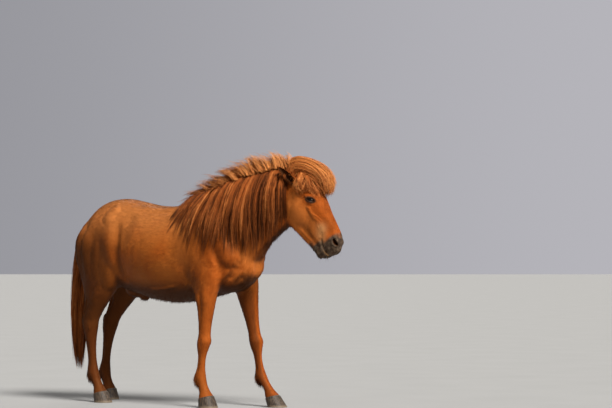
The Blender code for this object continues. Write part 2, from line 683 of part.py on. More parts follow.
def thin_body(body):
    """Coarse on the trunk and the legs, fine on the face."""
    on_face = places_of(body)[:, 0] > HEAD_FROM
    face_faces = int(2 * on_face.sum())
    thinned(body, ~on_face, face_faces + TRUNK_FACES)
    on_face = places_of(body)[:, 0] > HEAD_FROM
    thinned(body, on_face, TRUNK_FACES + HEAD_FACES)


def head_slab(name, top, bottom, half_across):
    """A cut across the head's midline plane, between two points given as down and front."""
    first, second = head_point(*top, 0), head_point(*bottom, 0)
    along = second - first
    return slab(name, (first + second) / 2, along.cross(HEAD_LEFT), along, along.length / 2, half_across)


def cutting_slabs():
    """Every cut between two pieces of flesh."""
    cuts = []
    # Neck from trunk: from above the withers down to the front of the chest
    along = Vector((0.46, 0, -0.52))
    cuts.append(slab("cut_neck", Vector((0.565, 0, 1.165)), Vector((0.52, 0, 0.46)), along, 0.42, 0.45))
    cuts.append(head_slab("cut_head", (-0.290, 0.060), (0.100, -0.310), 0.25))
    for (pair, side), _ in STRIDE.items():
        # Upper leg from trunk: a plane that rises outwards
        if pair == "fore":
            outward, back = 0.80, 0.0
            middle = Vector((0.455 + leg_shift(pair, side, 0.74), side * 0.185, 0.745))
            reach_x, reach_y = 0.162, 0.120
        else:
            outward, back = 0.42, 0.286
            middle = Vector((-0.470, side * 0.160, 0.805))
            reach_x, reach_y = 0.275, 0.135
        across = Vector((0, side, outward)).normalized()
        along = Vector((-1, 0, back)).normalized()
        cuts.append(slab(f"cut_{pair}", middle, across.cross(along), along, reach_x * 1.02, reach_y))
        # Lower leg from upper leg
        level = 0.358 if pair == "fore" else 0.425
        place = Vector(leg_place(pair, side, 0, 0, level))
        cuts.append(slab("cut_lower", place, Vector((0, 0, 1)), Vector((1, 0, 0)), 0.09, 0.09))
        # Hoof from pastern: higher at the toe than at the heel
        place = Vector(leg_place(pair, side, 0, 0, 0.062))
        cuts.append(slab("cut_hoof", place, Vector((-0.26, 0, 1)), Vector((1, 0, 0)), 0.10, 0.10))
    return cuts


def eye_centre(side):
    return head_point(*EYE_PLACE, side * EYE_OUT)


def eye_axes(side):
    """An eye's own directions: along the lids from rear to front corner, across them, and outwards."""
    outward = (HEAD_LEFT * side * 0.95 + HEAD_FRONT * 0.28 - HEAD_DOWN * 0.05).normalized()
    lids = HEAD_FRONT * math.cos(EYE_TILT) + HEAD_DOWN * math.sin(EYE_TILT)
    lids = (lids - outward * lids.dot(outward)).normalized()
    return lids, outward.cross(lids), outward


def ball(name, centre, radius, axes):
    """A ball with its poles along the last of its three directions."""
    mesh = bmesh.new()
    bmesh.ops.create_uvsphere(mesh, u_segments=12, v_segments=6, radius=1.0)
    mesh.transform(turned_to(centre, axes, (radius, radius, radius)))
    mesh.normal_update()
    bmesh.ops.recalc_face_normals(mesh, faces=mesh.faces)
    return from_mesh(name, mesh)


def almond(name, side):
    """The opening between the lids, as a block reaching outwards from inside the eye."""
    centre = eye_centre(side)
    lids, across, outward = eye_axes(side)
    rings = []
    for depth in (EYE_RADIUS * 0.72, EYE_RADIUS + 0.03):
        ring = []
        for i in range(14):
            turn = 2 * math.pi * i / 14
            lift = math.sin(turn)
            height = EYE_OPENING[1] * (1.1 if lift > 0 else 0.9)
            ring.append(
                centre + outward * depth + lids * (EYE_OPENING[0] * math.cos(turn))
                + across * (height * lift * abs(lift) ** 0.5)
            )
        rings.append(ring)
    return loft(name, rings)


def cut_face(body):
    """Opens the lids and the nostrils."""
    for side in (RIGHT, LEFT):
        boolean(body, ball("socket", eye_centre(side), EYE_RADIUS + GAP, eye_axes(side)), "DIFFERENCE")
        boolean(body, almond("lids", side), "DIFFERENCE")
        turned = (HEAD_DOWN * 0.9 + HEAD_FRONT * 0.44).normalized()
        level = turned.cross(HEAD_LEFT).normalized()
        boolean(body, ellipsoid(
            "nostril", head_point(0.302, 0.014, side * 0.052), (0.022, 0.0095, 0.024),
            (turned, level, turned.cross(level)),
        ), "DIFFERENCE")


def ear_form(side):
    """A cupped shell, open outwards and a little forwards."""
    root = head_point(*EAR_ROOT[:2], side * EAR_ROOT[2])
    tip = head_point(*EAR_TIP[:2], side * EAR_TIP[2])
    length = (tip - root).length
    rise = (tip - root) / length
    mouth = HEAD_LEFT * side * 0.88 + HEAD_FRONT * 0.47
    mouth = (mouth - rise * mouth.dot(rise)).normalized()
    cross = rise.cross(mouth)
    rings = []
    for share, radius, spread in EAR_STATIONS:
        centre = root + rise * (share * length) - mouth * (0.016 * share * share)
        thick = 0.0045 - 0.0015 * share
        outer, inner = [], []
        for i in range(EAR_POINTS):
            turn = math.radians(spread) * (2 * i / (EAR_POINTS - 1) - 1)
            way = cross * math.sin(turn) - mouth * math.cos(turn)
            outer.append(centre + way * radius)
            inner.append(centre + way * (radius - thick) + mouth * thick * 0.3)
        rings.append(outer + inner[::-1])
    points, faces = [], []
    count = len(rings[0])
    for ring in rings:
        points.extend(ring)
    for j in range(len(rings) - 1):
        for i in range(count):
            k = (i + 1) % count
            faces.append((j * count + i, j * count + k, (j + 1) * count + k, (j + 1) * count + i))
    last = (len(rings) - 1) * count
    for i in range(EAR_POINTS - 1):
        faces.append((i, count - 1 - i, count - 2 - i, i + 1))
        faces.append((last + i, last + i + 1, last + count - 2 - i, last + count - 1 - i))
    return solid_from("ear", points, faces)


def swollen(thing, reach, name):
    """A copy a little larger all round."""
    made = thing.copy()
    made.data = thing.data.copy()
    made.name = name
    bpy.context.scene.collection.objects.link(made)
    set_places(made, places_of(made) + normals_of(made) * reach)
    return made


def parted(body):
    """Cuts the body into its pieces and names them by where they are."""
    boolean(body, joined(cutting_slabs(), "cuts"), "DIFFERENCE")
    bpy.ops.object.select_all(action="DESELECT")
    bpy.context.view_layer.objects.active = body
    body.select_set(True)
    bpy.ops.object.mode_set(mode="EDIT")
    bpy.ops.mesh.select_all(action="SELECT")
    bpy.ops.mesh.separate(type="LOOSE")
    bpy.ops.object.mode_set(mode="OBJECT")
    pieces = list(bpy.context.selected_objects)
    for piece in pieces:
        places = places_of(piece)
        low, high = places.min(axis=0), places.max(axis=0)
        middle = (low + high) / 2
        side = "right" if middle[1] < 0 else "left"
        pair = "fore" if middle[0] > 0 else "hind"
        if high[2] < 0.12:
            piece.name = f"hoof_{pair}_{side}"
        elif high[2] < 0.48:
            piece.name = f"{pair}leg_lower_{side}"
        elif high[2] < 1.05:
            piece.name = f"{pair}leg_upper_{side}"
        elif high[0] > 1.2:
            piece.name = "head"
        elif low[0] > 0.25:
            piece.name = "neck"
        else:
            piece.name = "torso"
        piece.data.name = piece.name
    return pieces


def crest_swing(x):
    return float(np.interp(x, [0.50] + [row[0] for row in NECK[2:]], [0.0] + [row[5] for row in NECK[2:]]))


def read_off(table, share):
    return float(np.interp(share, [row[0] for row in table], [row[1] for row in table]))


def mane_path(skin, side, along, length, lift, steps=8):
    """One hair's way from the crest down the neck: its points and the way out of the skin at each."""
    x = MANE_FROM + (MANE_TO - MANE_FROM) * along
    top = skin.ray_cast(Vector((x, crest_swing(x), 2.0)), Vector((0, 0, -1)))[0]
    spot, normal = skin.find_nearest(top + Vector((0, side * 0.010, 0)))[:2]
    lean = Vector((-0.06 - 0.26 * (1 - along) ** 2, side * 0.02, -1)).normalized()
    path = []
    for step in range(steps + 1):
        share = step / steps
        if side == RIGHT:
            path.append((spot + normal * (read_off(RIGHT_RISE, share) * lift), normal))
        else:
            rise = read_off(LEFT_RISE, share) * lift * read_off(PUFF, along)
            back = Vector((-0.10 * share * (1 - share) * 4 * lift, side * 0.02, 0))
            out = (normal + Vector((0, 0, 1)) * (1 - share)).normalized()
            path.append((spot + Vector((0, 0, rise)) + normal * 0.012 + back, out))
        flat = lean - normal * lean.dot(normal)
        if normal.z < -0.25 or flat.length < 0.2:
            spot = spot + lean * (length / steps)
        else:
            spot, normal = skin.find_nearest(spot + flat.normalized() * (length / steps))[:2]
    return path


def mane_mass(skin, side, reach, share_of_rise):
    """A solid under the hair's paths, out to a share of their length, that dips into the neck."""
    rows, steps = 10, 5
    outer, inner = [], []
    for i in range(rows):
        along = i / (rows - 1)
        whole = mane_path(skin, side, along, read_off(MANE_LENGTH, along), 1.0, 48)
        for j in range(steps + 1):
            place = whole[int(round(j / steps * reach * 48))][0]
            under, normal = skin.find_nearest(place)[:2]
            taper = 1 - (1 - reach) * 0.5 * (j / steps) ** 2
            outer.append(under + (place - under) * (share_of_rise * taper))
            inner.append(under - normal * 0.004)
    return solid_from("mass", outer + inner, sheet_faces(rows, steps + 1))


def sheet_faces(rows, columns):
    """Faces of a thick sheet: a grid of outer points, then the same of inner ones, closed round the rim."""
    half = rows * columns
    faces = []
    for i in range(rows - 1):
        for j in range(columns - 1):
            a = i * columns + j
            b, c, d = a + 1, a + columns + 1, a + columns
            faces.append((a, b, c, d))
            faces.append((half + d, half + c, half + b, half + a))
    rim = [i * columns for i in range(rows)] + [(rows - 1) * columns + j for j in range(1, columns)]
    rim += [i * columns + columns - 1 for i in range(rows - 2, -1, -1)] + list(range(columns - 2, 0, -1))
    for first, second in zip(rim, rim[1:] + rim[:1]):
        faces.append((first, second, half + second, half + first))
    return faces


def curve_through(knots, share):
    """A point on a smooth curve through the knots, by share of their number."""
    place = share * (len(knots) - 1)
    index = min(int(place), len(knots) - 2)
    u = place - index
    points = [np.array(knots[max(0, min(len(knots) - 1, index + k))], float) for k in (-1, 0, 1, 2)]
    return 0.5 * (
        2 * points[1] + (points[2] - points[0]) * u
        + (2 * points[0] - 5 * points[1] + 4 * points[2] - points[3]) * u * u
        + (3 * points[1] - points[0] - 3 * points[2] + points[3]) * u * u * u
    )


def forelock_point(share, depth, aside):
    """A place in the forelock: share of its length, depth from top (0) to brow (1), and to the left."""
    outer, inner = curve_through(FORELOCK_OUTER, share), curve_through(FORELOCK_INNER, share)
    down, front = outer + (inner - outer) * depth
    return head_point(down, front, aside)


def forelock_mass(reach, thick):
    rings = []
    for step in range(7):
        share = step / 6 * reach
        top, bottom = forelock_point(share, 0.5 - thick / 2, 0), forelock_point(share, 0.5 + thick / 2, 0)
        rise = top - bottom
        half = 0.036 + 0.018 * math.sin(math.pi * min(1.0, share * 1.1))
        rings.append(section_ring(
            (top + bottom) / 2, HEAD_LEFT, rise.normalized(), half * (0.6 + 0.4 * thick),
            rise.length / 2, rise.length / 2, 2.2, 2.2,
        )[::2])
    return loft("mass", rings)


def tail_mass(reach, thick):
    rings = []
    for step in range(8):
        x, z, half, deep = curve_through(TAIL, step / 7 * reach)
        ahead = curve_through(TAIL, min(1.0, step / 7 * reach + 0.02))
        behind = curve_through(TAIL, max(0.0, step / 7 * reach - 0.02))
        along = Vector((ahead[0] - behind[0], 0, ahead[1] - behind[1])).normalized()
        rings.append(section_ring(
            Vector((x, 0, z)), Vector((0, 1, 0)), along.cross(Vector((0, 1, 0))),
            half * thick, deep * thick, deep * thick, 2.0, 2.0,
        )[::2])
    return loft("mass", rings)


def lock(path, half_width, half_thick, wave, phase):
    """One flat lock along points with the way outwards at each. It tapers to a blunt tip and sways."""
    rings = []
    last = len(path) - 1
    for index, (spot, out) in enumerate(path):
        share = index / last
        behind, ahead = path[max(0, index - 1)][0], path[min(last, index + 1)][0]
        along = (ahead - behind).normalized()
        across = along.cross(out).normalized()
        up = across.cross(along).normalized()
        spot = spot + across * (wave * share * math.sin(phase + 3.6 * share))
        spot = spot + up * (0.3 * wave * share * math.cos(phase * 1.7 + 4.4 * share))
        wide = half_width * (0.55 + 0.45 * math.sin(math.pi * min(1.0, 0.12 + share)) - 0.42 * share ** 3)
        thick = half_thick * (1 - 0.72 * share ** 1.5)
        rings.append((
            spot + across * wide, spot + up * thick, spot - across * wide, spot - up * thick
        ))
    return loft("lock", rings)


def part_of(path, start, end, steps):
    """The stretch of a path between two shares of its length, read at even steps."""
    stretch = []
    for step in range(steps + 1):
        place = (start + (end - start) * (step / steps) ** 1.35) * (len(path) - 1)
        index = min(int(place), len(path) - 2)
        u = place - index
        near, far = path[index], path[index + 1]
        stretch.append((near[0].lerp(far[0], u), near[1].lerp(far[1], u).normalized()))
    return stretch


def mane_locks(skin, side, chance):
    """Layers of locks down one side of the neck, each rooted inside the core."""
    locks = []
    for count, start, lift, width in LAYERS[side]:
        for i in range(count):
            along = min(1.0, max(0.0, (i + 0.5 + chance.uniform(-0.35, 0.35)) / count))
            length = read_off(MANE_LENGTH, along) * chance.uniform(0.86, 1.08)
            whole = mane_path(skin, side, along, length, lift * chance.uniform(0.9, 1.1), 16)
            path = part_of(whole, start, 1.0, 5 if side == RIGHT else 6)
            spot, out = path[0]
            path[0] = (spot - out * 0.014, out)
            locks.append(lock(
                path, width * chance.uniform(0.018, 0.027), chance.uniform(0.006, 0.009),
                chance.uniform(0.008, 0.020), chance.uniform(0, 6.28),
            ))
    return locks


def forelock_locks(chance):
    locks = []
    for i in range(FORELOCK_COUNT):
        turn = 2 * math.pi * ((i * 0.618) % 1)
        aside = 0.046 * math.cos(turn) + chance.uniform(-0.006, 0.006)
        depth = 0.44 - 0.40 * math.sin(turn)
        start, end = chance.uniform(0.02, 0.12) + 0.18 * depth, chance.uniform(0.90, 1.0)
        path = []
        for step in range(6):
            share = min(1.0, start + (end - start) * step / 5)
            spread = aside * (0.75 + 0.75 * share)
            spot = forelock_point(share, depth, spread)
            above = forelock_point(share, depth - 0.2, spread)
            rise = (above - spot).normalized()
            path.append((spot, (rise * math.sin(turn) + HEAD_LEFT * math.cos(turn)).normalized()))
        locks.append(lock(
            path, chance.uniform(0.018, 0.026), chance.uniform(0.006, 0.009), chance.uniform(0.006, 0.014),
            chance.uniform(0, 6.28),
        ))
    return locks


def tail_locks(chance):
    locks = []
    for i in range(TAIL_COUNT):
        turn = 2 * math.pi * ((i * 0.618) % 1)
        start, end = chance.uniform(0.10, 0.42), chance.uniform(0.78, 1.0)
        reach = chance.uniform(0.62, 0.95)
        path = []
        for step in range(6):
            share = start + (end - start) * step / 5
            x, z, half, deep = curve_through(TAIL, share)
            aside = Vector((math.cos(turn) * deep, math.sin(turn) * half, 0.0)) * reach
            outward = Vector((math.cos(turn), math.sin(turn), 0.1)).normalized()
            path.append((Vector((x, 0, z)) + aside, outward))
        locks.append(lock(
            path, chance.uniform(0.020, 0.030), chance.uniform(0.007, 0.010), chance.uniform(0.008, 0.016),
            chance.uniform(0, 6.28),
        ))
    return locks


def beyond(name, place, normal):
    """A large block that fills the side of a plane its normal points to, from half a gap before it."""
    normal = normal.normalized()
    along = normal.orthogonal().normalized()
    return box(name, place + normal * (1 - GAP / 2), (normal, along, normal.cross(along)), (1, 2, 2))


def curtain(side):
    """Everything on one side of the neck's middle, from half a gap before it."""
    places = [-0.2, 0.50] + [row[0] for row in NECK[3:]] + [1.5]
    points, faces = [], []
    for level in (0.2, 2.2):
        for x in places:
            points.append((x, crest_swing(x) - side * GAP / 2, level))
        for x in places:
            points.append((x, side * 1.0, level))
    count = len(places)
    for low in range(count - 1):
        high = low + 1
        faces.append((low, high, 2 * count + high, 2 * count + low))
        faces.append((count + low, count + high, 3 * count + high, 3 * count + low))
        faces.append((low, high, count + high, count + low))
        faces.append((2 * count + low, 2 * count + high, 3 * count + high, 3 * count + low))
    for end in (0, count - 1):
        faces.append((end, count + end, 3 * count + end, 2 * count + end))
    return solid_from("curtain", points, faces)


def largest_only(thing):
    """Keeps the largest closed surface of a piece."""
    mesh = bmesh.new()
    mesh.from_mesh(thing.data)
    mesh.faces.ensure_lookup_table()
    seen, groups = set(), []
    for face in mesh.faces:
        if face.index in seen:
            continue
        group, wave = [], [face]
        seen.add(face.index)
        while wave:
            current = wave.pop()
            group.append(current)
            for edge in current.edges:
                for other in edge.link_faces:
                    if other.index not in seen:
                        seen.add(other.index)
                        wave.append(other)
        groups.append(group)
    groups.sort(key=lambda group: -sum(face.calc_area() for face in group))
    spare = [face for group in groups[1:] for face in group]
    bmesh.ops.delete(mesh, geom=spare, context="FACES")
    mesh.to_mesh(thing.data)
    mesh.free()


def make_hair(name, mass, locks, tools):
    """The mass and its locks fused, then cleared of what lies beside it."""
    hair = mass
    hair.name = name
    hair.data.name = name
    for lock in locks:
        boolean(hair, lock, "UNION", ("MANIFOLD",))
    for tool in tools:
        boolean(hair, tool, "DIFFERENCE", ("MANIFOLD",))
    largest_only(hair)
    return hair


def all_hair(skin, clear_of_flesh, ears):
    """Mane on both sides, forelock and tail."""
    poll = Vector((0.955, 0.040, 1.480))
    forward = Vector((0.95, 0, 0.30))
    reach = CORE_REACH if FULL_LOCKS else 1.0
    thick = 0.62 if FULL_LOCKS else 0.92
    chance = random.Random(7)
    around = joined([swollen(ear, GAP * 1.5, "around") for ear in ears], "around_ears")

    def clearances():
        return [swollen(clear_of_flesh, 0.0, "tool"), swollen(around, 0.0, "tool")]

    for side, word in ((RIGHT, "right"), (LEFT, "left")):
        locks = mane_locks(skin, side, chance) if FULL_LOCKS else []
        make_hair(f"mane_{word}", mane_mass(skin, side, reach, 0.86), locks, clearances() + [
            curtain(-side), beyond("front", poll, forward)
        ])
    locks = forelock_locks(chance) if FULL_LOCKS else []
    tools = clearances() + [beyond("back", poll, -forward)]
    make_hair("forelock", forelock_mass(reach, thick), locks, tools)
    locks = tail_locks(chance) if FULL_LOCKS else []
    make_hair("tail", tail_mass(reach, thick), locks, [swollen(clear_of_flesh, 0.0, "tool")])
    bpy.data.objects.remove(around, do_unlink=True)


COLOURS = {
    "coat": (0.36, 0.115, 0.030, 0.62),
    "hair": (0.50, 0.190, 0.060, 0.55),
    "horn": (0.090, 0.068, 0.052, 0.45),
    "eye": (0.014, 0.008, 0.006, 0.08),
}
KINDS = {"hoof": "horn", "eye": "eye", "mane": "hair", "forelock": "hair", "tail": "hair"}


def finished(thing, home):
    """Puts a piece in the model's collection, centred, with a material of its own."""
    kind = "coat"
    for word, name in KINDS.items():
        if thing.name.startswith(word):
            kind = name
    thing.data.materials.clear()
    paint = bpy.data.materials.new(thing.name)
    paint.use_nodes = True
    shader = paint.node_tree.nodes["Principled BSDF"]
    red, green, blue, rough = COLOURS[kind]
    shader.inputs["Base Color"].default_value = (red, green, blue, 1)
    shader.inputs["Roughness"].default_value = rough
    thing.data.materials.append(paint)
    thing.data.transform(Matrix.Translation(-CENTRE))
    if kind in ("coat", "eye"):
        thing.data.shade_smooth()
        thing.data.set_sharp_from_angle(angle=math.radians(50))
    for collection in list(thing.users_collection):
        collection.objects.unlink(thing)
    home.objects.link(thing)


def main():
    clear_scene()
    body = make_body()
    skin = surface_of(body)
    thin_body(body)
    boolean(body, box(
        "under_floor", Vector((0, 0, -0.1)), WORLD, (2, 1, 0.1)
    ), "DIFFERENCE")
    clear_of_flesh = swollen(body, GAP * 1.5, "clear_of_flesh")
    cut_face(body)
    parted(body)
    ears = []
    for side, word in ((RIGHT, "right"), (LEFT, "left")):
        ear = ear_form(side)
        ear.name = ear.data.name = f"ear_{word}"
        boolean(ear, swollen(clear_of_flesh, 0.0, "tool"), "DIFFERENCE")
        largest_only(ear)
        ears.append(ear)
        ball(f"eye_{word}", eye_centre(side), EYE_RADIUS, eye_axes(side))
    all_hair(skin, clear_of_flesh, ears)
    bpy.data.objects.remove(clear_of_flesh, do_unlink=True)
    home = bpy.data.collections.new("icelandic_horse")
    bpy.context.scene.collection.children.link(home)
    for thing in list(bpy.data.objects):
        finished(thing, home)


main()
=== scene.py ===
"""The looks of the Icelandic horse: one skin under a coat of fine tufts, long hair lock by lock, eyes,
lids and hooves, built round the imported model.

Metres, +Z up. The body is lofted and pressed in the frame that it is drawn in, and every finished
piece is then moved by CENTRE into the model's own frame.
"""

import math
import random

import bmesh
import bpy
import numpy as np
from mathutils import Matrix, Vector
from mathutils.bvhtree import BVHTree


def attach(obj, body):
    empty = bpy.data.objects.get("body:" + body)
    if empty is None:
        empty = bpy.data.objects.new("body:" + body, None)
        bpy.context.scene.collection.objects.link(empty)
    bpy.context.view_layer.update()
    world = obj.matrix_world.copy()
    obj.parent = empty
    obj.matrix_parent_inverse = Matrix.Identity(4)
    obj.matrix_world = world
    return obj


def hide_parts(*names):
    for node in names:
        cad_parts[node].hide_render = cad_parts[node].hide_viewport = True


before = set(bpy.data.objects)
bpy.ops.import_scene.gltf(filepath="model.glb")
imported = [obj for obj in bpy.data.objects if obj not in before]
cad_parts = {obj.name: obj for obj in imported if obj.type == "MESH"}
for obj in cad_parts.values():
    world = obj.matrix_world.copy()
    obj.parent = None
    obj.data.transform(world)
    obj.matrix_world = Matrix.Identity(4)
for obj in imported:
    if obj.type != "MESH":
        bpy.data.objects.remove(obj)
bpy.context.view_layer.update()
bpy.ops.object.select_all(action="DESELECT")

SEED = 11
CENTRE = Vector((0.231, 0.0, 0.0))  # the middle of the model's box
GRAIN = 0.0046  # grain of the clay that the lofted forms are pressed into
STROKE_GRAIN = 0.0065  # the grain that the rounds of smoothing are counted for
RING_POINTS = 40  # points round a lofted section
TRUNK_TRIANGLES = 112000  # triangles of the skin behind the face
PATH_STEPS = 24  # steps along the path of a lock
RIGHT, LEFT = -1, 1
SIDE_NAME = {RIGHT: "right", LEFT: "left"}
WORLD = (Vector((1, 0, 0)), Vector((0, 1, 0)), Vector((0, 0, 1)))

# The eye: its centre down from the eye line and to the front, its distance out, its radius, half
# the length and height of the lids' opening, their slope against the head, and how far the lids'
# edge lies outside the opening
EYE_PLACE = (0.004, 0.008)
EYE_OUT = 0.0640
EYE_RADIUS = 0.0255
EYE_OPENING = (0.0255, 0.0125)
EYE_TILT = math.radians(42)
LID_EDGE = 0.0008
NOSTRIL = (0.304, 0.014, 0.053)  # a nostril's middle, as down, front and out

# The trunk, one line per station: x, height of the widest line, reach above it, reach below it,
# half width, roundness of the upper and of the lower half
TRUNK = (
    (-0.705, 1.030, 0.050, 0.070, 0.050, 2.0, 2.0),
    (-0.670, 1.030, 0.140, 0.130, 0.130, 2.0, 2.0),
    (-0.580, 1.035, 0.225, 0.200, 0.205, 2.1, 2.0),
    (-0.480, 1.040, 0.280, 0.260, 0.240, 2.2, 2.1),
    (-0.350, 1.040, 0.298, 0.300, 0.250, 2.2, 2.2),
    (-0.220, 1.010, 0.306, 0.305, 0.268, 2.1, 2.2),
    (-0.050, 0.965, 0.322, 0.300, 0.298, 2.0, 2.2),
    (0.100, 0.945, 0.342, 0.292, 0.300, 1.9, 2.2),
    (0.250, 0.945, 0.385, 0.275, 0.268, 1.75, 2.2),
    (0.360, 0.950, 0.405, 0.262, 0.242, 1.65, 2.2),
    (0.480, 0.955, 0.375, 0.242, 0.226, 1.7, 2.2),
    (0.580, 0.950, 0.300, 0.215, 0.192, 1.9, 2.2),
    (0.660, 0.945, 0.205, 0.165, 0.140, 2.0, 2.1),
    (0.715, 0.940, 0.100, 0.095, 0.085, 2.0, 2.0),
)

# The neck, one line per station: crest point x and z, throat point x and z, half width, swing to the left
NECK = (
    (0.300, 1.330, 0.640, 0.790, 0.185, 0.000),
    (0.430, 1.390, 0.735, 0.930, 0.172, 0.000),
    (0.560, 1.432, 0.795, 1.010, 0.140, 0.004),
    (0.700, 1.464, 0.862, 1.070, 0.117, 0.012),
    (0.830, 1.484, 0.925, 1.118, 0.102, 0.024),
    (0.940, 1.482, 0.980, 1.152, 0.092, 0.038),
    (1.030, 1.440, 1.030, 1.200, 0.080, 0.048),
)
CREST_POWER = 1.55  # below 2 makes the crest narrow
THROAT_POWER = 2.0

# The head hangs 30 degrees off plumb and looks 15 degrees to the horse's left
EYE_LINE = Vector((1.106, 0.060, 1.294))  # on the head's midline, level with the eyes
HEAD_PITCH = math.radians(30)
HEAD_YAW = math.radians(15)
HEAD_DOWN = Vector((
    math.cos(HEAD_YAW) * math.sin(HEAD_PITCH),
    math.sin(HEAD_YAW) * math.sin(HEAD_PITCH),
    -math.cos(HEAD_PITCH),
))
HEAD_FRONT = Vector((
    math.cos(HEAD_YAW) * math.cos(HEAD_PITCH),
    math.sin(HEAD_YAW) * math.cos(HEAD_PITCH),
    math.sin(HEAD_PITCH),
))
HEAD_LEFT = Vector((-math.sin(HEAD_YAW), math.cos(HEAD_YAW), 0.0))
DOWN, FRONT, ASIDE = (np.array(way) for way in (HEAD_DOWN, HEAD_FRONT, HEAD_LEFT))

# The skull from poll to lips, one line per station: distance down the head from the eyes, reach to
# the front, reach to the jaw, half width, front roundness, jaw roundness
SKULL = (
    (-0.205, -0.020, 0.060, 0.040, 2.0, 2.0),
    (-0.180, 0.015, 0.110, 0.066, 2.0, 2.0),
    (-0.130, 0.052, 0.150, 0.080, 2.2, 2.0),
    (-0.060, 0.076, 0.190, 0.089, 2.6, 1.8),
    (0.000, 0.080, 0.216, 0.090, 2.8, 1.7),
    (0.060, 0.076, 0.212, 0.080, 2.6, 1.65),
    (0.120, 0.070, 0.192, 0.067, 2.4, 1.6),
    (0.180, 0.067, 0.174, 0.057, 2.3, 1.6),
    (0.240, 0.063, 0.156, 0.051, 2.2, 1.7),
    (0.290, 0.052, 0.144, 0.054, 2.2, 1.9),
    (0.330, 0.026, 0.126, 0.048, 2.1, 2.1),
    (0.358, -0.010, 0.092, 0.030, 2.0, 2.0),
)

# A foreleg, one line per level: height, shift ahead of the leg's line, reach to the front, reach
# to the back, half width, distance out from the midline
FORELEG = (
    (0.960, 0.020, 0.110, 0.100, 0.060, 0.130),
    (0.860, 0.010, 0.110, 0.118, 0.074, 0.158),
    (0.790, 0.000, 0.094, 0.118, 0.072, 0.166),
    (0.730, 0.000, 0.080, 0.096, 0.066, 0.164),
    (0.660, 0.000, 0.066, 0.076, 0.057, 0.161),
    (0.580, 0.000, 0.051, 0.058, 0.048, 0.158),
    (0.510, 0.000, 0.043, 0.046, 0.042, 0.156),
    (0.460, 0.000, 0.042, 0.042, 0.041, 0.155),
    (0.415, 0.002, 0.048, 0.048, 0.046, 0.155),
    (0.375, 0.000, 0.039, 0.046, 0.039, 0.155),
    (0.330, -0.002, 0.029, 0.036, 0.027, 0.154),
    (0.250, -0.004, 0.028, 0.035, 0.026, 0.153),
    (0.190, -0.002, 0.037, 0.046, 0.036, 0.153),
    (0.145, 0.018, 0.033, 0.036, 0.032, 0.153),
    (0.105, 0.040, 0.036, 0.038, 0.036, 0.153),
    (0.070, 0.055, 0.050, 0.050, 0.051, 0.153),
    (0.035, 0.066, 0.058, 0.056, 0.057, 0.153),
    (0.000, 0.077, 0.066, 0.062, 0.062, 0.153),
    (-0.020, 0.080, 0.066, 0.062, 0.062, 0.153),
)

# A hind leg with its thigh, in the same order, with the shift as the place along X
HINDLEG = (
    (1.200, -0.490, 0.130, 0.110, 0.070, 0.100),
    (1.120, -0.490, 0.205, 0.165, 0.105, 0.120),
    (1.020, -0.480, 0.226, 0.200, 0.120, 0.134),
    (0.920, -0.465, 0.212, 0.200, 0.112, 0.144),
    (0.830, -0.450, 0.182, 0.180, 0.098, 0.152),
    (0.750, -0.462, 0.142, 0.145, 0.083, 0.155),
    (0.670, -0.492, 0.102, 0.106, 0.067, 0.155),
    (0.590, -0.530, 0.072, 0.080, 0.052, 0.153),
    (0.540, -0.550, 0.060, 0.078, 0.044, 0.151),
    (0.490, -0.560, 0.056, 0.064, 0.043, 0.149),
    (0.430, -0.562, 0.045, 0.046, 0.037, 0.147),
    (0.350, -0.558, 0.034, 0.039, 0.029, 0.145),
    (0.260, -0.552, 0.032, 0.038, 0.028, 0.143),
    (0.190, -0.546, 0.040, 0.048, 0.037, 0.142),
    (0.145, -0.526, 0.034, 0.037, 0.033, 0.142),
    (0.105, -0.504, 0.037, 0.038, 0.036, 0.142),
    (0.070, -0.489, 0.049, 0.049, 0.049, 0.142),
    (0.035, -0.479, 0.057, 0.054, 0.054, 0.142),
    (0.000, -0.468, 0.064, 0.058, 0.058, 0.142),
    (-0.020, -0.465, 0.064, 0.058, 0.058, 0.142),
)

LEG_ROWS = {"fore": FORELEG, "hind": HINDLEG}
LEG_X = {"fore": 0.455, "hind": 0.0}  # where a leg's line stands
CORONET = 0.062  # height of a hoof in front
HOOF_SLOPE = 0.26  # fall of its upper edge towards the heel
# A hoof's wall from its upper edge to the ground: share of the height, share of the leg's section, and
# lift over that height
HOOF_WALL = (
    (0.0, 0.86, 0.006), (0.0, 0.955, 0.003), (0.0, 0.995, 0.0), (0.06, 1.004, 0), (0.12, 0.992, 0),
    (0.25, 0.992, 0), (0.40, 0.994, 0), (0.55, 0.996, 0), (0.70, 0.998, 0), (0.85, 1.0, 0), (0.95, 1.0, 0),
    (0.99, 0.99, 0), (1.0, 0.965, 0),
)

# How far each foot is carried from square, and the height where its leg starts to swing
STRIDE = {
    ("fore", RIGHT): (-0.090, 0.82),
    ("fore", LEFT): (0.225, 0.97),
    ("hind", RIGHT): (0.020, 0.95),
    ("hind", LEFT): (-0.170, 0.95),
}

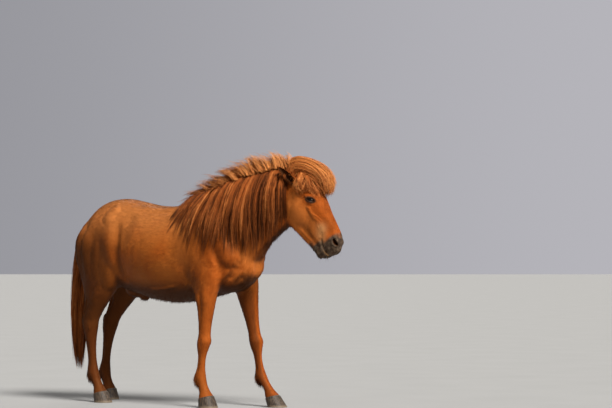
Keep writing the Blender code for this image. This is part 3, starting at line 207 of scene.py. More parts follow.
# Muscles, folds and bones of one side, modelled by pressing along a path. Each line holds the
# width of the stroke, its height (below 0 for a groove) and the path
BODY_STROKES = (
    (0.120, 0.014, ((0.430, 0.20, 1.240), (0.510, 0.20, 1.100), (0.570, 0.20, 1.010))),  # shoulder blade
    (0.085, 0.026, ((0.585, 0.17, 1.000), (0.610, 0.17, 0.950))),  # point of the shoulder
    (0.100, 0.014, ((0.500, 0.22, 0.930), (0.400, 0.22, 0.860))),  # upper arm
    (0.070, -0.009, ((0.330, 0.25, 1.120), (0.320, 0.25, 0.960), (0.345, 0.25, 0.820))),  # behind the arm
    (0.045, -0.010, ((0.530, 0.20, 0.980), (0.575, 0.20, 0.900), (0.560, 0.20, 0.810))),  # before the arm
    (0.070, -0.010, ((0.500, 0.20, 1.300), (0.600, 0.20, 1.130), (0.680, 0.14, 1.010))),  # root of the neck
    (0.080, 0.008, ((0.690, 0.050, 0.920), (0.650, 0.060, 0.820))),  # breast muscle
    (0.040, -0.013, ((0.660, 0.120, 0.900), (0.600, 0.140, 0.780))),  # between breast and arm
    (0.110, -0.012, ((-0.180, 0.24, 1.180), (-0.190, 0.24, 1.080))),  # hollow of the flank
    (0.060, 0.012, ((-0.320, 0.20, 1.265), (-0.345, 0.22, 1.215))),  # point of the hip
    (0.060, -0.013, (
        (-0.262, 0.25, 1.200), (-0.248, 0.25, 1.040), (-0.225, 0.25, 0.930), (-0.205, 0.22, 0.810)
    )),  # before the thigh
    (0.090, 0.012, ((-0.330, 0.25, 1.140), (-0.320, 0.25, 0.980), (-0.320, 0.22, 0.840))),  # thigh, front
    (0.065, 0.010, ((-0.330, 0.20, 0.840), (-0.345, 0.20, 0.780))),  # kneecap
    (0.045, -0.007, ((-0.560, 0.20, 1.200), (-0.575, 0.22, 1.000), (-0.545, 0.20, 0.800))),  # thigh, back
    (0.070, 0.008, ((-0.630, 0.15, 1.120), (-0.620, 0.15, 0.920))),  # buttock
    (0.055, -0.004, ((-0.450, 0.23, 1.160), (-0.465, 0.25, 0.980), (-0.430, 0.22, 0.800))),  # thigh
    (0.060, 0.008, ((0.150, 0.12, 1.280), (-0.160, 0.12, 1.270))),  # loin beside the spine
    (0.050, -0.008, ((0.960, 0.07, 1.240), (0.860, 0.08, 1.110), (0.730, 0.10, 1.000))),  # gullet groove
    (0.080, 0.008, ((0.900, 0.10, 1.360), (0.740, 0.12, 1.240), (0.600, 0.18, 1.130))),  # side of the neck
)

# The same for the legs: pair, width, height, then the path as shift ahead of the leg's line,
# distance out from its middle, and height
LEG_STROKES = (
    ("fore", 0.040, 0.009, ((0.030, 0.06, 0.740), (0.020, 0.06, 0.640))),  # forearm, outer front
    ("fore", 0.040, 0.007, ((-0.050, 0.05, 0.720), (-0.040, 0.05, 0.640))),  # forearm, outer back
    ("fore", 0.016, -0.005, ((-0.012, 0.06, 0.720), (-0.014, 0.05, 0.560))),  # between them
    ("fore", 0.016, 0.005, ((-0.050, 0.00, 0.408), (-0.052, 0.00, 0.390))),  # bone at the back of the knee
    ("fore", 0.014, -0.004, ((0.000, 0.05, 0.440), (0.000, 0.05, 0.385))),  # side of the knee
    ("fore", 0.012, -0.0045, ((-0.014, 0.04, 0.350), (-0.016, 0.04, 0.230))),  # before the tendon
    ("fore", 0.012, -0.0045, ((-0.014, -0.04, 0.350), (-0.016, -0.04, 0.230))),
    ("fore", 0.018, 0.006, ((-0.044, 0.00, 0.185), (-0.030, 0.00, 0.165))),  # back of the fetlock
    ("hind", 0.040, 0.008, ((0.040, 0.06, 0.740), (0.010, 0.06, 0.640))),  # gaskin
    ("hind", 0.018, -0.008, ((-0.045, 0.05, 0.680), (-0.048, 0.04, 0.570))),  # before the hamstring
    ("hind", 0.018, -0.008, ((-0.045, -0.05, 0.680), (-0.048, -0.04, 0.570))),
    ("hind", 0.022, 0.009, ((-0.075, 0.00, 0.560), (-0.072, 0.00, 0.535))),  # point of the hock
    ("hind", 0.016, 0.004, ((0.020, 0.05, 0.510), (0.020, 0.05, 0.470))),  # side of the hock
    ("hind", 0.012, -0.0045, ((-0.014, 0.04, 0.390), (-0.016, 0.04, 0.240))),  # before the tendon
    ("hind", 0.012, -0.0045, ((-0.014, -0.04, 0.390), (-0.016, -0.04, 0.240))),
    ("hind", 0.018, 0.006, ((-0.046, 0.00, 0.185), (-0.032, 0.00, 0.165))),  # back of the fetlock
)

# The same for one side of the head: width, height, then the path as down, front and out
HEAD_STROKES = (
    (0.024, 0.006, ((-0.030, -0.016, 0.09), (-0.026, 0.016, 0.09), (-0.012, 0.040, 0.08))),  # brow
    (0.034, -0.008, ((-0.066, 0.010, 0.09), (-0.058, 0.030, 0.09))),  # hollow above the eye
    (0.012, -0.003, ((0.020, -0.026, 0.09), (0.030, 0.000, 0.09), (0.026, 0.030, 0.08))),  # below the eye
    (0.020, 0.004, ((0.040, -0.024, 0.09), (0.085, -0.026, 0.08), (0.140, -0.018, 0.07))),  # cheekbone
    (0.085, 0.007, ((-0.010, -0.120, 0.08), (0.050, -0.110, 0.08))),  # cheek
    (0.030, -0.005, ((0.080, -0.050, 0.08), (0.116, -0.090, 0.07), (0.116, -0.150, 0.05))),  # under it
    (0.022, -0.006, ((0.100, -0.145, 0.05), (0.180, -0.125, 0.05), (0.270, -0.104, 0.05))),  # along the jaw
    (0.020, 0.002, ((0.060, 0.055, 0.05), (0.150, 0.050, 0.04), (0.230, 0.044, 0.03))),  # nose bone
    (0.032, -0.004, ((0.120, 0.015, 0.07), (0.190, 0.015, 0.06), (0.250, 0.008, 0.06))),  # beside the nose
    (0.018, 0.005, ((0.272, 0.030, 0.05), (0.296, 0.038, 0.05), (0.326, 0.026, 0.05))),  # nostril, front
    (0.018, 0.004, ((0.286, -0.010, 0.06), (0.322, -0.012, 0.06))),  # nostril, rear
    (0.009, -0.007, (
        (0.246, -0.068, 0.06), (0.284, -0.074, 0.06), (0.324, -0.076, 0.05), (0.356, -0.068, 0.00)
    )),  # line of the mouth
    (0.016, 0.003, ((0.262, -0.094, 0.06), (0.310, -0.100, 0.05), (0.342, -0.094, 0.02))),  # lower lip
    (0.016, 0.002, ((0.262, -0.050, 0.06), (0.310, -0.052, 0.05), (0.346, -0.046, 0.02))),  # upper lip
    (0.040, -0.008, ((-0.110, -0.130, 0.08), (-0.040, -0.190, 0.08), (0.010, -0.225, 0.05))),  # behind cheek
)

# Folds and veins that only the render has, drawn as the strokes above
FINE_HEAD_STROKES = (
    (0.0065, 0.0022, (
        (0.035, -0.020, 0.08), (0.075, -0.026, 0.08), (0.110, -0.004, 0.07), (0.150, 0.006, 0.06)
    )),  # vein below the eye
    (0.0060, 0.0016, ((0.110, -0.004, 0.07), (0.140, -0.030, 0.06), (0.180, -0.040, 0.06))),
    (0.0080, -0.0030, ((-0.030, -0.034, 0.09), (-0.030, -0.006, 0.09), (-0.018, 0.026, 0.09))),
    (0.0060, -0.0020, ((-0.044, -0.030, 0.09), (-0.044, -0.004, 0.09))),
    (0.0070, -0.0024, ((0.036, -0.014, 0.09), (0.042, 0.010, 0.09))),
    (0.0075, -0.0055, (
        (0.240, -0.062, 0.06), (0.284, -0.074, 0.06), (0.324, -0.076, 0.05), (0.356, -0.068, 0.0)
    )),  # line of the mouth
    (0.0080, -0.0030, ((0.222, -0.042, 0.06), (0.236, -0.060, 0.06), (0.240, -0.080, 0.05))),
    (0.0060, -0.0020, ((0.208, -0.036, 0.06), (0.220, -0.062, 0.06))),
    (0.0070, 0.0030, (
        (0.274, -0.002, 0.06), (0.300, -0.006, 0.06), (0.328, 0.000, 0.06), (0.338, 0.014, 0.05)
    )),  # nostril's rear rim
    (0.0080, 0.0030, (
        (0.270, 0.022, 0.05), (0.290, 0.034, 0.05), (0.314, 0.036, 0.05), (0.334, 0.026, 0.05)
    )),  # its front rim
    (0.0070, -0.0024, ((0.330, -0.030, 0.04), (0.346, -0.030, 0.03))),
)
FINE_BODY_STROKES = (
    (0.030, -0.005, ((0.640, 0.06, 0.860), (0.600, 0.10, 0.780))),
    (0.026, -0.004, ((0.705, 0.010, 0.960), (0.690, 0.010, 0.860))),
    (0.024, 0.004, ((0.470, 0.22, 0.880), (0.440, 0.22, 0.790))),
    (0.030, -0.004, ((0.400, 0.22, 0.900), (0.380, 0.22, 0.800))),
    (0.022, 0.003, ((0.040, 0.20, 0.760), (0.220, 0.20, 0.770))),
    (0.040, -0.002, ((-0.080, 0.30, 1.060), (-0.100, 0.30, 0.900))),
    (0.040, -0.0015, ((-0.010, 0.30, 1.080), (-0.030, 0.30, 0.920))),
    (0.040, 0.004, ((-0.420, 0.24, 1.060), (-0.440, 0.24, 0.900), (-0.430, 0.24, 0.800))),
)

# Painted shade in the creases and hollows of the face: strength, reach, then the path as down, front and out
FACE_SHADES = (
    (0.42, 0.0075, ((0.030, -0.036, 0.08), (0.052, -0.036, 0.078), (0.115, -0.042, 0.062))),  # cheekbone
    (0.55, 0.016, ((0.126, -0.096, 0.045), (0.150, -0.100, 0.043), (0.193, -0.108, 0.035))),  # mouth's rear
    (0.30, 0.016, ((0.080, -0.150, 0.050), (0.126, -0.100, 0.045))),
    (0.40, 0.012, ((-0.083, -0.045, 0.080), (-0.040, -0.026, 0.088))),  # behind the eye
)

# Sand-coloured hair in front of the corner of the mouth, and a painted highlight along the edge of the lips,
# in the same order
SANDY_AND_LIP_HIGHLIGHT = (
    (0.75, 0.034, ((0.185, -0.020, 0.06), (0.220, -0.052, 0.06))),
    (0.80, 0.0050, ((0.248, -0.073, 0.055), (0.300, -0.080, 0.05), (0.348, -0.075, 0.028))),
)

# Darker hair where the body shades itself, on both sides: strength, reach, then the path
BODY_SHADES = (
    (0.55, 0.09, ((0.36, 0.22, 0.80),)),  # inside the elbow
    (0.64, 0.045, ((-0.235, 0.24, 1.00), (-0.215, 0.22, 0.80), (-0.26, 0.16, 0.72))),  # before the thigh
    (0.50, 0.10, ((0.90, 0.10, 1.26), (0.76, 0.13, 1.12), (0.62, 0.18, 1.02))),  # under the neck
    (0.68, 0.055, ((0.295, 0.27, 1.06), (0.305, 0.26, 0.94), (0.34, 0.23, 0.80))),  # behind the elbow
    (0.40, 0.08, ((-0.66, 0, 1.15), (-0.70, 0, 0.95))),  # under the dock
    (0.90, 0.11, ((-0.16, 0, 0.68), (-0.30, 0, 0.72))),  # the sheath
)

# An ear: root and tip as down, front and out, then its sections by share of its length, radius,
# and how far round it closes to each side, in degrees
EAR_ROOT = (-0.140, -0.035, 0.056)
EAR_TIP = (-0.282, -0.062, 0.092)
EAR_STATIONS = (
    (0.00, 0.020, 150), (0.18, 0.0255, 140), (0.38, 0.0285, 122), (0.60, 0.0260, 106),
    (0.82, 0.0165, 92), (0.98, 0.0060, 80),
)
EAR_ACROSS = 19  # points from one edge of the shell to the other

# The short coat in four pieces: region, how many tufts, their length and width
COATS = (
    ("trunk", 43000, 0.026, 0.0027),
    ("neck", 35000, 0.025, 0.0027),
    ("head", 34000, 0.0085, 0.0014),
    ("legs", 27000, 0.020, 0.0024),
)

# The long hair
MANE_FROM, MANE_TO = 0.30, 0.965  # the crest that carries the mane, along X
# Length of the hanging mane by share of the crest
MANE_LENGTH = ((0.0, 0.25), (0.3, 0.41), (0.7, 0.46), (0.85, 0.41), (0.93, 0.35), (1.0, 0.27))
# The forelock, blown forwards: outer and inner line on the head's midline, as down and front
FORELOCK_OUTER = (
    (-0.235, -0.060), (-0.300, 0.020), (-0.246, 0.106), (-0.142, 0.174), (-0.052, 0.188),
    (0.008, 0.156), (0.034, 0.112),
)
FORELOCK_INNER = (
    (-0.130, -0.050), (-0.160, -0.005), (-0.140, 0.035), (-0.100, 0.062), (-0.055, 0.076),
    (-0.012, 0.084), (0.024, 0.086),
)
# The tail: place, half width across and half depth, from the dock down
TAIL = (
    (-0.640, 1.190, 0.030, 0.030),
    (-0.700, 1.175, 0.036, 0.032),
    (-0.742, 1.100, 0.046, 0.036),
    (-0.768, 0.960, 0.060, 0.042),
    (-0.786, 0.780, 0.072, 0.046),
    (-0.793, 0.600, 0.072, 0.046),
    (-0.795, 0.430, 0.060, 0.042),
    (-0.792, 0.290, 0.040, 0.030),
    (-0.786, 0.190, 0.018, 0.016),
)
# Height over the skin by share of the length: along the skin's normal on the right, where it falls
# close, and straight up on the left, where it is blown high over the crest
RIGHT_RISE = ((0.0, 0.022), (0.10, 0.032), (0.35, 0.030), (0.75, 0.022), (1.0, 0.012))
LEFT_RISE = (
    (0.0, 0.030), (0.06, 0.078), (0.14, 0.126), (0.25, 0.150), (0.40, 0.128), (0.60, 0.070), (1.0, 0.015)
)
# How high the left side blows, by share of the crest
PUFF = ((0.0, 0.30), (0.15, 0.55), (0.40, 1.0), (0.75, 0.95), (1.0, 1.05))
# The hair blown over the crest, each by share of the crest: how far it goes back and up where it
# leaves the crest, how much it falls again, its length, and how far down the right side it starts
BACKWARD = ((0, 1.00), (0.3, 0.98), (0.55, 0.94), (0.75, 0.86), (0.88, 0.70), (1, 0.34))
UPWARD = ((0, -0.24), (0.2, -0.08), (0.4, 0.13), (0.55, 0.30), (0.70, 0.43), (0.88, 0.56), (1, 0.64))
BLOWN_FALL = ((0, 0.30), (0.5, 0.55), (0.8, 0.75), (1, 0.80))
BLOWN_LENGTH = ((0, 0.20), (0.2, 0.24), (0.45, 0.24), (0.7, 0.20), (0.9, 0.17), (1, 0.15))
BLOWN_START = ((0, 0.075), (0.4, 0.055), (0.8, 0.030), (1, 0.012))


def arrays(ways):
    return [np.array(way) for way in ways]


def unit(ways, least=1e-12):
    """The same ways, each of length one."""
    return ways / (np.linalg.norm(ways, axis=-1, keepdims=True) + least)


def spline_rows(rows, count):
    """Rows read evenly from a smooth curve through the given rows, spaced by their first three columns."""
    rows = np.array(rows, float)
    steps = np.linalg.norm(np.diff(rows[:, :3], axis=0), axis=1)
    places = np.concatenate([[0.0], np.cumsum(steps)])
    slopes = np.gradient(rows, places, axis=0)
    wanted = np.linspace(0.0, places[-1], count)
    spans = np.clip(np.searchsorted(places, wanted, side="right") - 1, 0, len(rows) - 2)
    width = (places[spans + 1] - places[spans])[:, None]
    u = ((wanted - places[spans])[:, None]) / width
    return (
        rows[spans] * (1 + 2 * u) * (1 - u) ** 2
        + slopes[spans] * width * u * (1 - u) ** 2
        + rows[spans + 1] * u * u * (3 - 2 * u)
        + slopes[spans + 1] * width * u * u * (u - 1)
    )


def section_ring(centre, side, rise, half_width, above, below, upper_power, lower_power):
    """A rounded section: a superellipse whose upper and lower halves differ in reach and roundness."""
    ring = []
    for step in range(RING_POINTS):
        turn = 2 * math.pi * step / RING_POINTS
        across, up = math.cos(turn), math.sin(turn)
        power = upper_power if up >= 0 else lower_power
        reach = above if up >= 0 else below
        ring.append(
            centre
            + side * (half_width * math.copysign(abs(across) ** (2 / power), across))
            + rise * (reach * math.copysign(abs(up) ** (2 / power), up))
        )
    return ring


def from_mesh(name, mesh):
    """An object holding the mesh, in the scene."""
    data = bpy.data.meshes.new(name)
    mesh.to_mesh(data)
    mesh.free()
    made = bpy.data.objects.new(name, data)
    bpy.context.scene.collection.objects.link(made)
    return made


def loft(name, rings):
    """A closed skin over rings of points, one after another, with flat ends."""
    mesh = bmesh.new()
    loops = [[mesh.verts.new(point) for point in ring] for ring in rings]
    count = len(loops[0])
    for first, second in zip(loops, loops[1:]):
        for i in range(count):
            j = (i + 1) % count
            mesh.faces.new((first[i], first[j], second[j], second[i]))
    mesh.faces.new(loops[0][::-1])
    mesh.faces.new(loops[-1])
    bmesh.ops.recalc_face_normals(mesh, faces=mesh.faces)
    return from_mesh(name, mesh)


def trunk_form():
    rings = []
    for x, z, above, below, half, upper, lower in spline_rows(TRUNK, 60):
        rings.append(section_ring(
            Vector((x, 0, z)), Vector((0, -1, 0)), Vector((0, 0, 1)), half, above, below, upper, lower
        ))
    return loft("trunk_form", rings)


def neck_form():
    rings = []
    for crest_x, crest_z, throat_x, throat_z, half, swing in spline_rows(NECK, 36):
        crest = Vector((crest_x, swing, crest_z))
        throat = Vector((throat_x, swing, throat_z))
        rise = crest - throat
        reach = rise.length
        middle = throat + rise * 0.45
        rings.append(section_ring(
            middle, Vector((0, -1, 0)), rise.normalized(), half,
            reach * 0.55, reach * 0.45, CREST_POWER, THROAT_POWER,
        ))
    return loft("neck_form", rings)


def head_point(down, front, left):
    """A place on the head: down from the eyes to the lips, towards the front, and to the horse's left."""
    return EYE_LINE + HEAD_DOWN * down + HEAD_FRONT * front + HEAD_LEFT * left


def head_path(path, side=LEFT):
    """A path given as down, front and out, as places on one side of the head."""
    return [head_point(down, front, side * out) for down, front, out in path]


def skull_form():
    rings = []
    for down, front, back, half, upper, lower in spline_rows(SKULL, 44):
        rings.append(section_ring(
            head_point(down, 0, 0), HEAD_LEFT, HEAD_FRONT, half, front, back, upper, lower
        ))
    return loft("skull_form", rings)


def leg_shift(pair, side, height):
    stride, hinge = STRIDE[(pair, side)]
    return stride * max(0.0, 1 - height / hinge)


def leg_form(pair, side):
    rows = [(level, shift, out, front, back, half) for level, shift, front, back, half, out in LEG_ROWS[pair]]
    rings = []
    for height, shift, out, front, back, half in spline_rows(rows, 64):
        middle = Vector((LEG_X[pair] + shift + leg_shift(pair, side, height), side * out, height))
        rings.append(section_ring(
            middle, Vector((0, 1, 0)), Vector((1, 0, 0)), half, front, back, 2.0, 2.0
        ))
    return loft(f"{pair}leg_form", rings)


def turned_to(centre, axes, sizes):
    """The transform that takes a unit form to a centre, three directions and a size along each."""
    turn = Matrix([list(axis) for axis in axes]).transposed()
    return Matrix.Translation(centre) @ turn.to_4x4() @ Matrix.Diagonal((*sizes, 1.0))


def ellipsoid(name, place, sizes, axes=WORLD, segments=20, rings=12):
    """A stretched ball, with its sizes along three directions and its poles along the last of them."""
    bpy.ops.mesh.primitive_uv_sphere_add(segments=segments, ring_count=rings, radius=1.0)
    made = bpy.context.object
    made.name = name
    made.data.transform(turned_to(Vector(place), axes, sizes))
    return made


def head_clay():
    """The forms that stand out of the skull: the eye's surround, the muzzle and the chin."""
    head_axes = (HEAD_DOWN, HEAD_FRONT, HEAD_LEFT)
    forms = []
    for side in (RIGHT, LEFT):
        forms.append(ellipsoid(
            "eye_surround", head_point(0.004, 0.006, side * 0.064), (0.038, 0.034, 0.034), head_axes
        ))
        forms.append(ellipsoid(
            "nostril_wing", head_point(0.298, 0.002, side * 0.030), (0.036, 0.038, 0.027), head_axes
        ))
    forms.append(ellipsoid("upper_lip", head_point(0.334, -0.026, 0), (0.034, 0.044, 0.042), head_axes))
    forms.append(ellipsoid("chin", head_point(0.306, -0.116, 0), (0.034, 0.030, 0.034), head_axes))
    return forms


def sheath_clay():
    """The sheath under the belly."""
    return [
        ellipsoid("sheath_root", (-0.270, 0, 0.735), (0.110, 0.055, 0.055)),
        ellipsoid("sheath_lip", (-0.210, 0, 0.700), (0.050, 0.034, 0.040)),
    ]


def applied(thing, step):
    """Carries out a modifier for good."""
    bpy.ops.object.select_all(action="DESELECT")
    bpy.context.view_layer.objects.active = thing
    thing.select_set(True)
    bpy.ops.object.modifier_apply(modifier=step.name)


def pressed(forms, name, voxel):
    """The forms pressed into one closed body."""
    bpy.ops.object.select_all(action="DESELECT")
    for form in forms:
        form.select_set(True)
    bpy.context.view_layer.objects.active = forms[0]
    bpy.ops.object.join()
    clay = bpy.context.object
    clay.name = name
    remesh = clay.modifiers.new("press", "REMESH")
    remesh.mode = "VOXEL"
    remesh.voxel_size = voxel
    applied(clay, remesh)
    return clay


def places_of(thing):
    places = np.empty(len(thing.data.vertices) * 3)
    thing.data.vertices.foreach_get("co", places)
    return places.reshape(-1, 3)


def set_places(thing, places):
    thing.data.vertices.foreach_set("co", places.ravel())
    thing.data.update()


def evened(thing, pulls, weight):
    """Moves each point towards the middle of its neighbours, by each pull in turn."""
    places = places_of(thing)
    edges = np.empty(len(thing.data.edges) * 2, np.int64)
    thing.data.edges.foreach_get("vertices", edges)
    first, second = edges.reshape(-1, 2).T
    count = len(places)
    degree = np.bincount(first, minlength=count) + np.bincount(second, minlength=count)
    for pull in pulls:
        mean = np.empty_like(places)
        for axis in range(3):
            column = places[:, axis]
            mean[:, axis] = (
                np.bincount(first, column[second], count) + np.bincount(second, column[first], count)
            ) / degree
        places = places + (mean - places) * (pull * weight)[:, None]
    set_places(thing, places)


def relaxed(thing, rounds):
    """Smooths the clay without shrinking it."""
    evened(thing, (0.55, -0.57) * rounds, np.ones(len(thing.data.vertices)))


def melted(thing, rounds, weight=None):
    """Plain smoothing, which rounds off the creases where two forms meet. The weight is by point."""
    evened(thing, (0.5,) * rounds, np.ones(len(thing.data.vertices)) if weight is None else weight)


def ramp(values, start, end):
    """0 before start, 1 after end, and smooth between them."""
    share = np.clip((values - start) / (end - start), 0, 1)
    return share * share * (3 - 2 * share)


def surface_of(thing):
    mesh = bmesh.new()
    mesh.from_mesh(thing.data)
    tree = BVHTree.FromBMesh(mesh)
    mesh.free()
    return tree


def normals_of(thing):
    normals = np.empty(len(thing.data.vertices) * 3)
    thing.data.vertices.foreach_get("normal", normals)
    return normals.reshape(-1, 3)


def stroked(places, normals, tree, width, height, path):
    """Presses the points near a path outwards, or inwards where height is below 0, fading at its ends."""
    path = [np.array(tree.find_nearest(Vector(point))[0]) for point in path]
    total = sum(float(np.linalg.norm(end - start)) for start, end in zip(path, path[1:]))
    near = np.full(len(places), 1e9)
    reached = np.zeros(len(places))
    done = 0.0
    for start, end in zip(path, path[1:]):
        along = end - start
        length = float(np.linalg.norm(along))
        share = np.clip((places - start) @ along / max(length * length, 1e-12), -0.6, 1.6)
        gap = places - (start + np.clip(share, 0, 1)[:, None] * along)
        apart = (gap * gap).sum(axis=1)
        closer = apart < near
        near = np.where(closer, apart, near)
        reached = np.where(closer, done + np.clip(share, 0, 1) * length, reached)
        done += length
    fade = min(width, total * 0.4)
    ends = 1.0
    if total > width * 1.3:
        ends = ramp(reached, -fade * 0.7, fade) * ramp(total - reached, -fade * 0.7, fade)
    push = np.clip(1 - near / (width * width), 0, None) ** 2 * (height * ends)
    return places + normals * push[:, None]


def stroke_all(body, tree, on_body, on_head, on_legs=()):
    """Presses every stroke of three tables into both sides of the horse."""
    places, normals = places_of(body), normals_of(body)
    for side in (RIGHT, LEFT):
        strokes = [(width, height, [(x, side * y + neck_swing(x, z), z) for x, y, z in path])
                   for width, height, path in on_body]
        strokes += [(width, height, head_path(path, side)) for width, height, path in on_head]
        strokes += [(width, height, [leg_place(pair, side, *step) for step in path])
                    for pair, width, height, path in on_legs]
        for width, height, path in strokes:
            places = stroked(places, normals, tree, width, height, path)
    set_places(body, places)


def neck_swing(x, z):
    """How far the neck has swung to the left at this place. Nothing on the trunk."""
    if z < 1.0 or x < 0.56:
        return 0.0
    return read_off(NECK, x, 5)


def leg_place(pair, side, ahead, out, level):
    """A place on a leg, from its own line at that height."""
    shift, centre = (read_off(LEG_ROWS[pair][::-1], level, column) for column in (1, 5))
    return (LEG_X[pair] + shift + leg_shift(pair, side, level) + ahead, side * (centre + out), level)


def solid_from(name, points, faces):
    """A closed body from points and faces, turned outside out."""
    mesh = bmesh.new()
    corners = [mesh.verts.new(point) for point in points]
    for face in faces:
        mesh.faces.new([corners[index] for index in face])
    bmesh.ops.recalc_face_normals(mesh, faces=mesh.faces)
    if mesh.calc_volume(signed=True) < 0:
        bmesh.ops.reverse_faces(mesh, faces=mesh.faces)
    return from_mesh(name, mesh)


def is_closed(data):
    mesh = bmesh.new()
    mesh.from_mesh(data)
    closed = len(mesh.faces) > 0 and all(edge.is_manifold for edge in mesh.edges)
    mesh.free()
    return closed


def boolean(target, tool, operation):
    """Joins the tool to the target, or cuts it away, and removes the tool."""
    before = target.data.copy()
    for solver in ("MANIFOLD", "EXACT"):
        step = target.modifiers.new("step", "BOOLEAN")
        step.operation = operation
        step.solver = solver
        step.object = tool
        applied(target, step)
        if is_closed(target.data):
            break
        target.data = before.copy()
    bpy.data.objects.remove(tool, do_unlink=True)


def eye_centre(side):
    return head_point(*EYE_PLACE, side * EYE_OUT)


def eye_axes(side):
    """An eye's own directions: along the lids from rear to front corner, across them, and outwards."""
    outward = (HEAD_LEFT * side * 0.95 + HEAD_FRONT * 0.28 - HEAD_DOWN * 0.05).normalized()
    lids = HEAD_FRONT * math.cos(EYE_TILT) + HEAD_DOWN * math.sin(EYE_TILT)
    lids = (lids - outward * lids.dot(outward)).normalized()
    return lids, outward.cross(lids), outward


def crest_swing(x):
    """How far the crest has swung to the left, from the withers on."""
    return read_off([(0.50, 0.0)] + [(row[0], row[5]) for row in NECK[2:]], x)


def read_off(table, place, column=1):
    """A column of a table, read between its rows at a place in the first column."""
    return float(np.interp(place, [row[0] for row in table], [row[column] for row in table]))


def curve_through(knots, share):
    """A point on a smooth curve through the knots, by share of their number."""
    place = share * (len(knots) - 1)
    index = min(int(place), len(knots) - 2)
    u = place - index
    points = [np.array(knots[max(0, min(len(knots) - 1, index + k))], float) for k in (-1, 0, 1, 2)]
    return 0.5 * (
        2 * points[1] + (points[2] - points[0]) * u
        + (2 * points[0] - 5 * points[1] + 4 * points[2] - points[3]) * u * u
        + (3 * points[1] - points[0] - 3 * points[2] + points[3]) * u * u * u
    )


def forelock_point(share, depth, aside):
    """A place in the forelock: share of its length, depth from top (0) to brow (1), and to the left."""
    outer, inner = curve_through(FORELOCK_OUTER, share), curve_through(FORELOCK_INNER, share)
    down, front = outer + (inner - outer) * depth
    return head_point(down, front, aside)


def make_body():
    """The whole body as one closed form, out to the ends of the short coat."""
    clay = [trunk_form(), neck_form(), skull_form()] + head_clay() + sheath_clay()
    for pair, side in STRIDE:
        clay.append(leg_form(pair, side))
    body = pressed(clay, "body", GRAIN)
    finer = (STROKE_GRAIN / GRAIN) ** 2
    places = places_of(body)
    down, front, _ = head_frame(places)
    on_face = ramp(down, -0.10, -0.04) * ramp(front, -0.23, -0.17) * ramp(places[:, 0], 0.9, 0.95)
    on_leg = 1 - ramp(places[:, 2], 0.60, 0.78)
    on_sheath = np.exp(-((places - np.array((-0.24, 0, 0.71))) ** 2).sum(axis=1) / 0.012)
    melted(body, round(45 * finer), (1 - on_face) * (1 - on_leg) * (1 - 0.9 * on_sheath))
    melted(body, round(4 * finer))
    relaxed(body, round(8 * finer))
    tree = surface_of(body)
    stroke_all(body, tree, BODY_STROKES, HEAD_STROKES, LEG_STROKES)
    relaxed(body, round(2 * finer))
    stroke_all(body, tree, FINE_BODY_STROKES, FINE_HEAD_STROKES)
    return body


def head_frame(places):
    """Places as down the head, to its front and to its left, from the eyes."""
    apart = places - np.array(EYE_LINE)
    return apart @ DOWN, apart @ FRONT, apart @ ASIDE


def face_share(places):
    """1 on the face, 0 behind the cheek."""
    down, front, _ = head_frame(places)
    return ramp(down, -0.16, -0.08) * ramp(front, -0.25, -0.19) * ramp(places[:, 0], 0.94, 1.0)


def coat_depth(places):
    """How deep the skin lies under the ends of the coat."""
    face = face_share(places)
    leg = 1 - ramp(places[:, 2], 0.45, 0.75)
    muzzle = ramp(head_frame(places)[0], 0.22, 0.27) * face
    return 0.0065 - 0.0040 * face - 0.0030 * leg * (1 - face) - 0.0015 * muzzle


def hoof_blocks():
    """The space of the hooves, which is cut from the skin."""
    blocks = []
    for pair, side in STRIDE:
        place = Vector(leg_place(pair, side, 0, 0, CORONET))
        bpy.ops.mesh.primitive_cube_add(size=1.0)
        block = bpy.context.object
        up = Vector((-HOOF_SLOPE, 0, 1)).normalized()
        ahead = Vector((1, 0, HOOF_SLOPE)).normalized()
        block.data.transform(turned_to(place - up * 0.1, (ahead, Vector((0, 1, 0)), up), (0.24, 0.20, 0.2)))
        blocks.append(block)
    return blocks


def thinned(body, chosen, triangles_left):
    """Fewer faces among the chosen points, until the whole has as many triangles as given."""
    group = body.vertex_groups.new(name="thin")
    group.add(np.nonzero(chosen)[0].tolist(), 1.0, "REPLACE")
    step = body.modifiers.new("thin", "DECIMATE")
    step.vertex_group = "thin"
    triangles = sum(len(face.vertices) - 2 for face in body.data.polygons)
    step.ratio = triangles_left / triangles
    step.use_collapse_triangulate = True
    applied(body, step)
    body.vertex_groups.clear()


def ear_frame(side):
    """An ear's root and tip, and its own ways: up the ear, out of its mouth, and across."""
    root = head_point(*EAR_ROOT[:2], side * EAR_ROOT[2])
    tip = head_point(*EAR_TIP[:2], side * EAR_TIP[2])
    rise = (tip - root).normalized()
    mouth = HEAD_LEFT * side * 0.88 + HEAD_FRONT * 0.47
    mouth = (mouth - rise * mouth.dot(rise)).normalized()
    return root, tip, rise, mouth, rise.cross(mouth)


def along_ear(places, side):
    """Each place's share of the ear's length, and how it lies off the ear's middle line."""
    root, tip, rise = arrays(ear_frame(side)[:3])
    length = np.linalg.norm(tip - root)
    share = (places - root) @ rise / length
    return share, places - root - np.outer(share * length, rise)


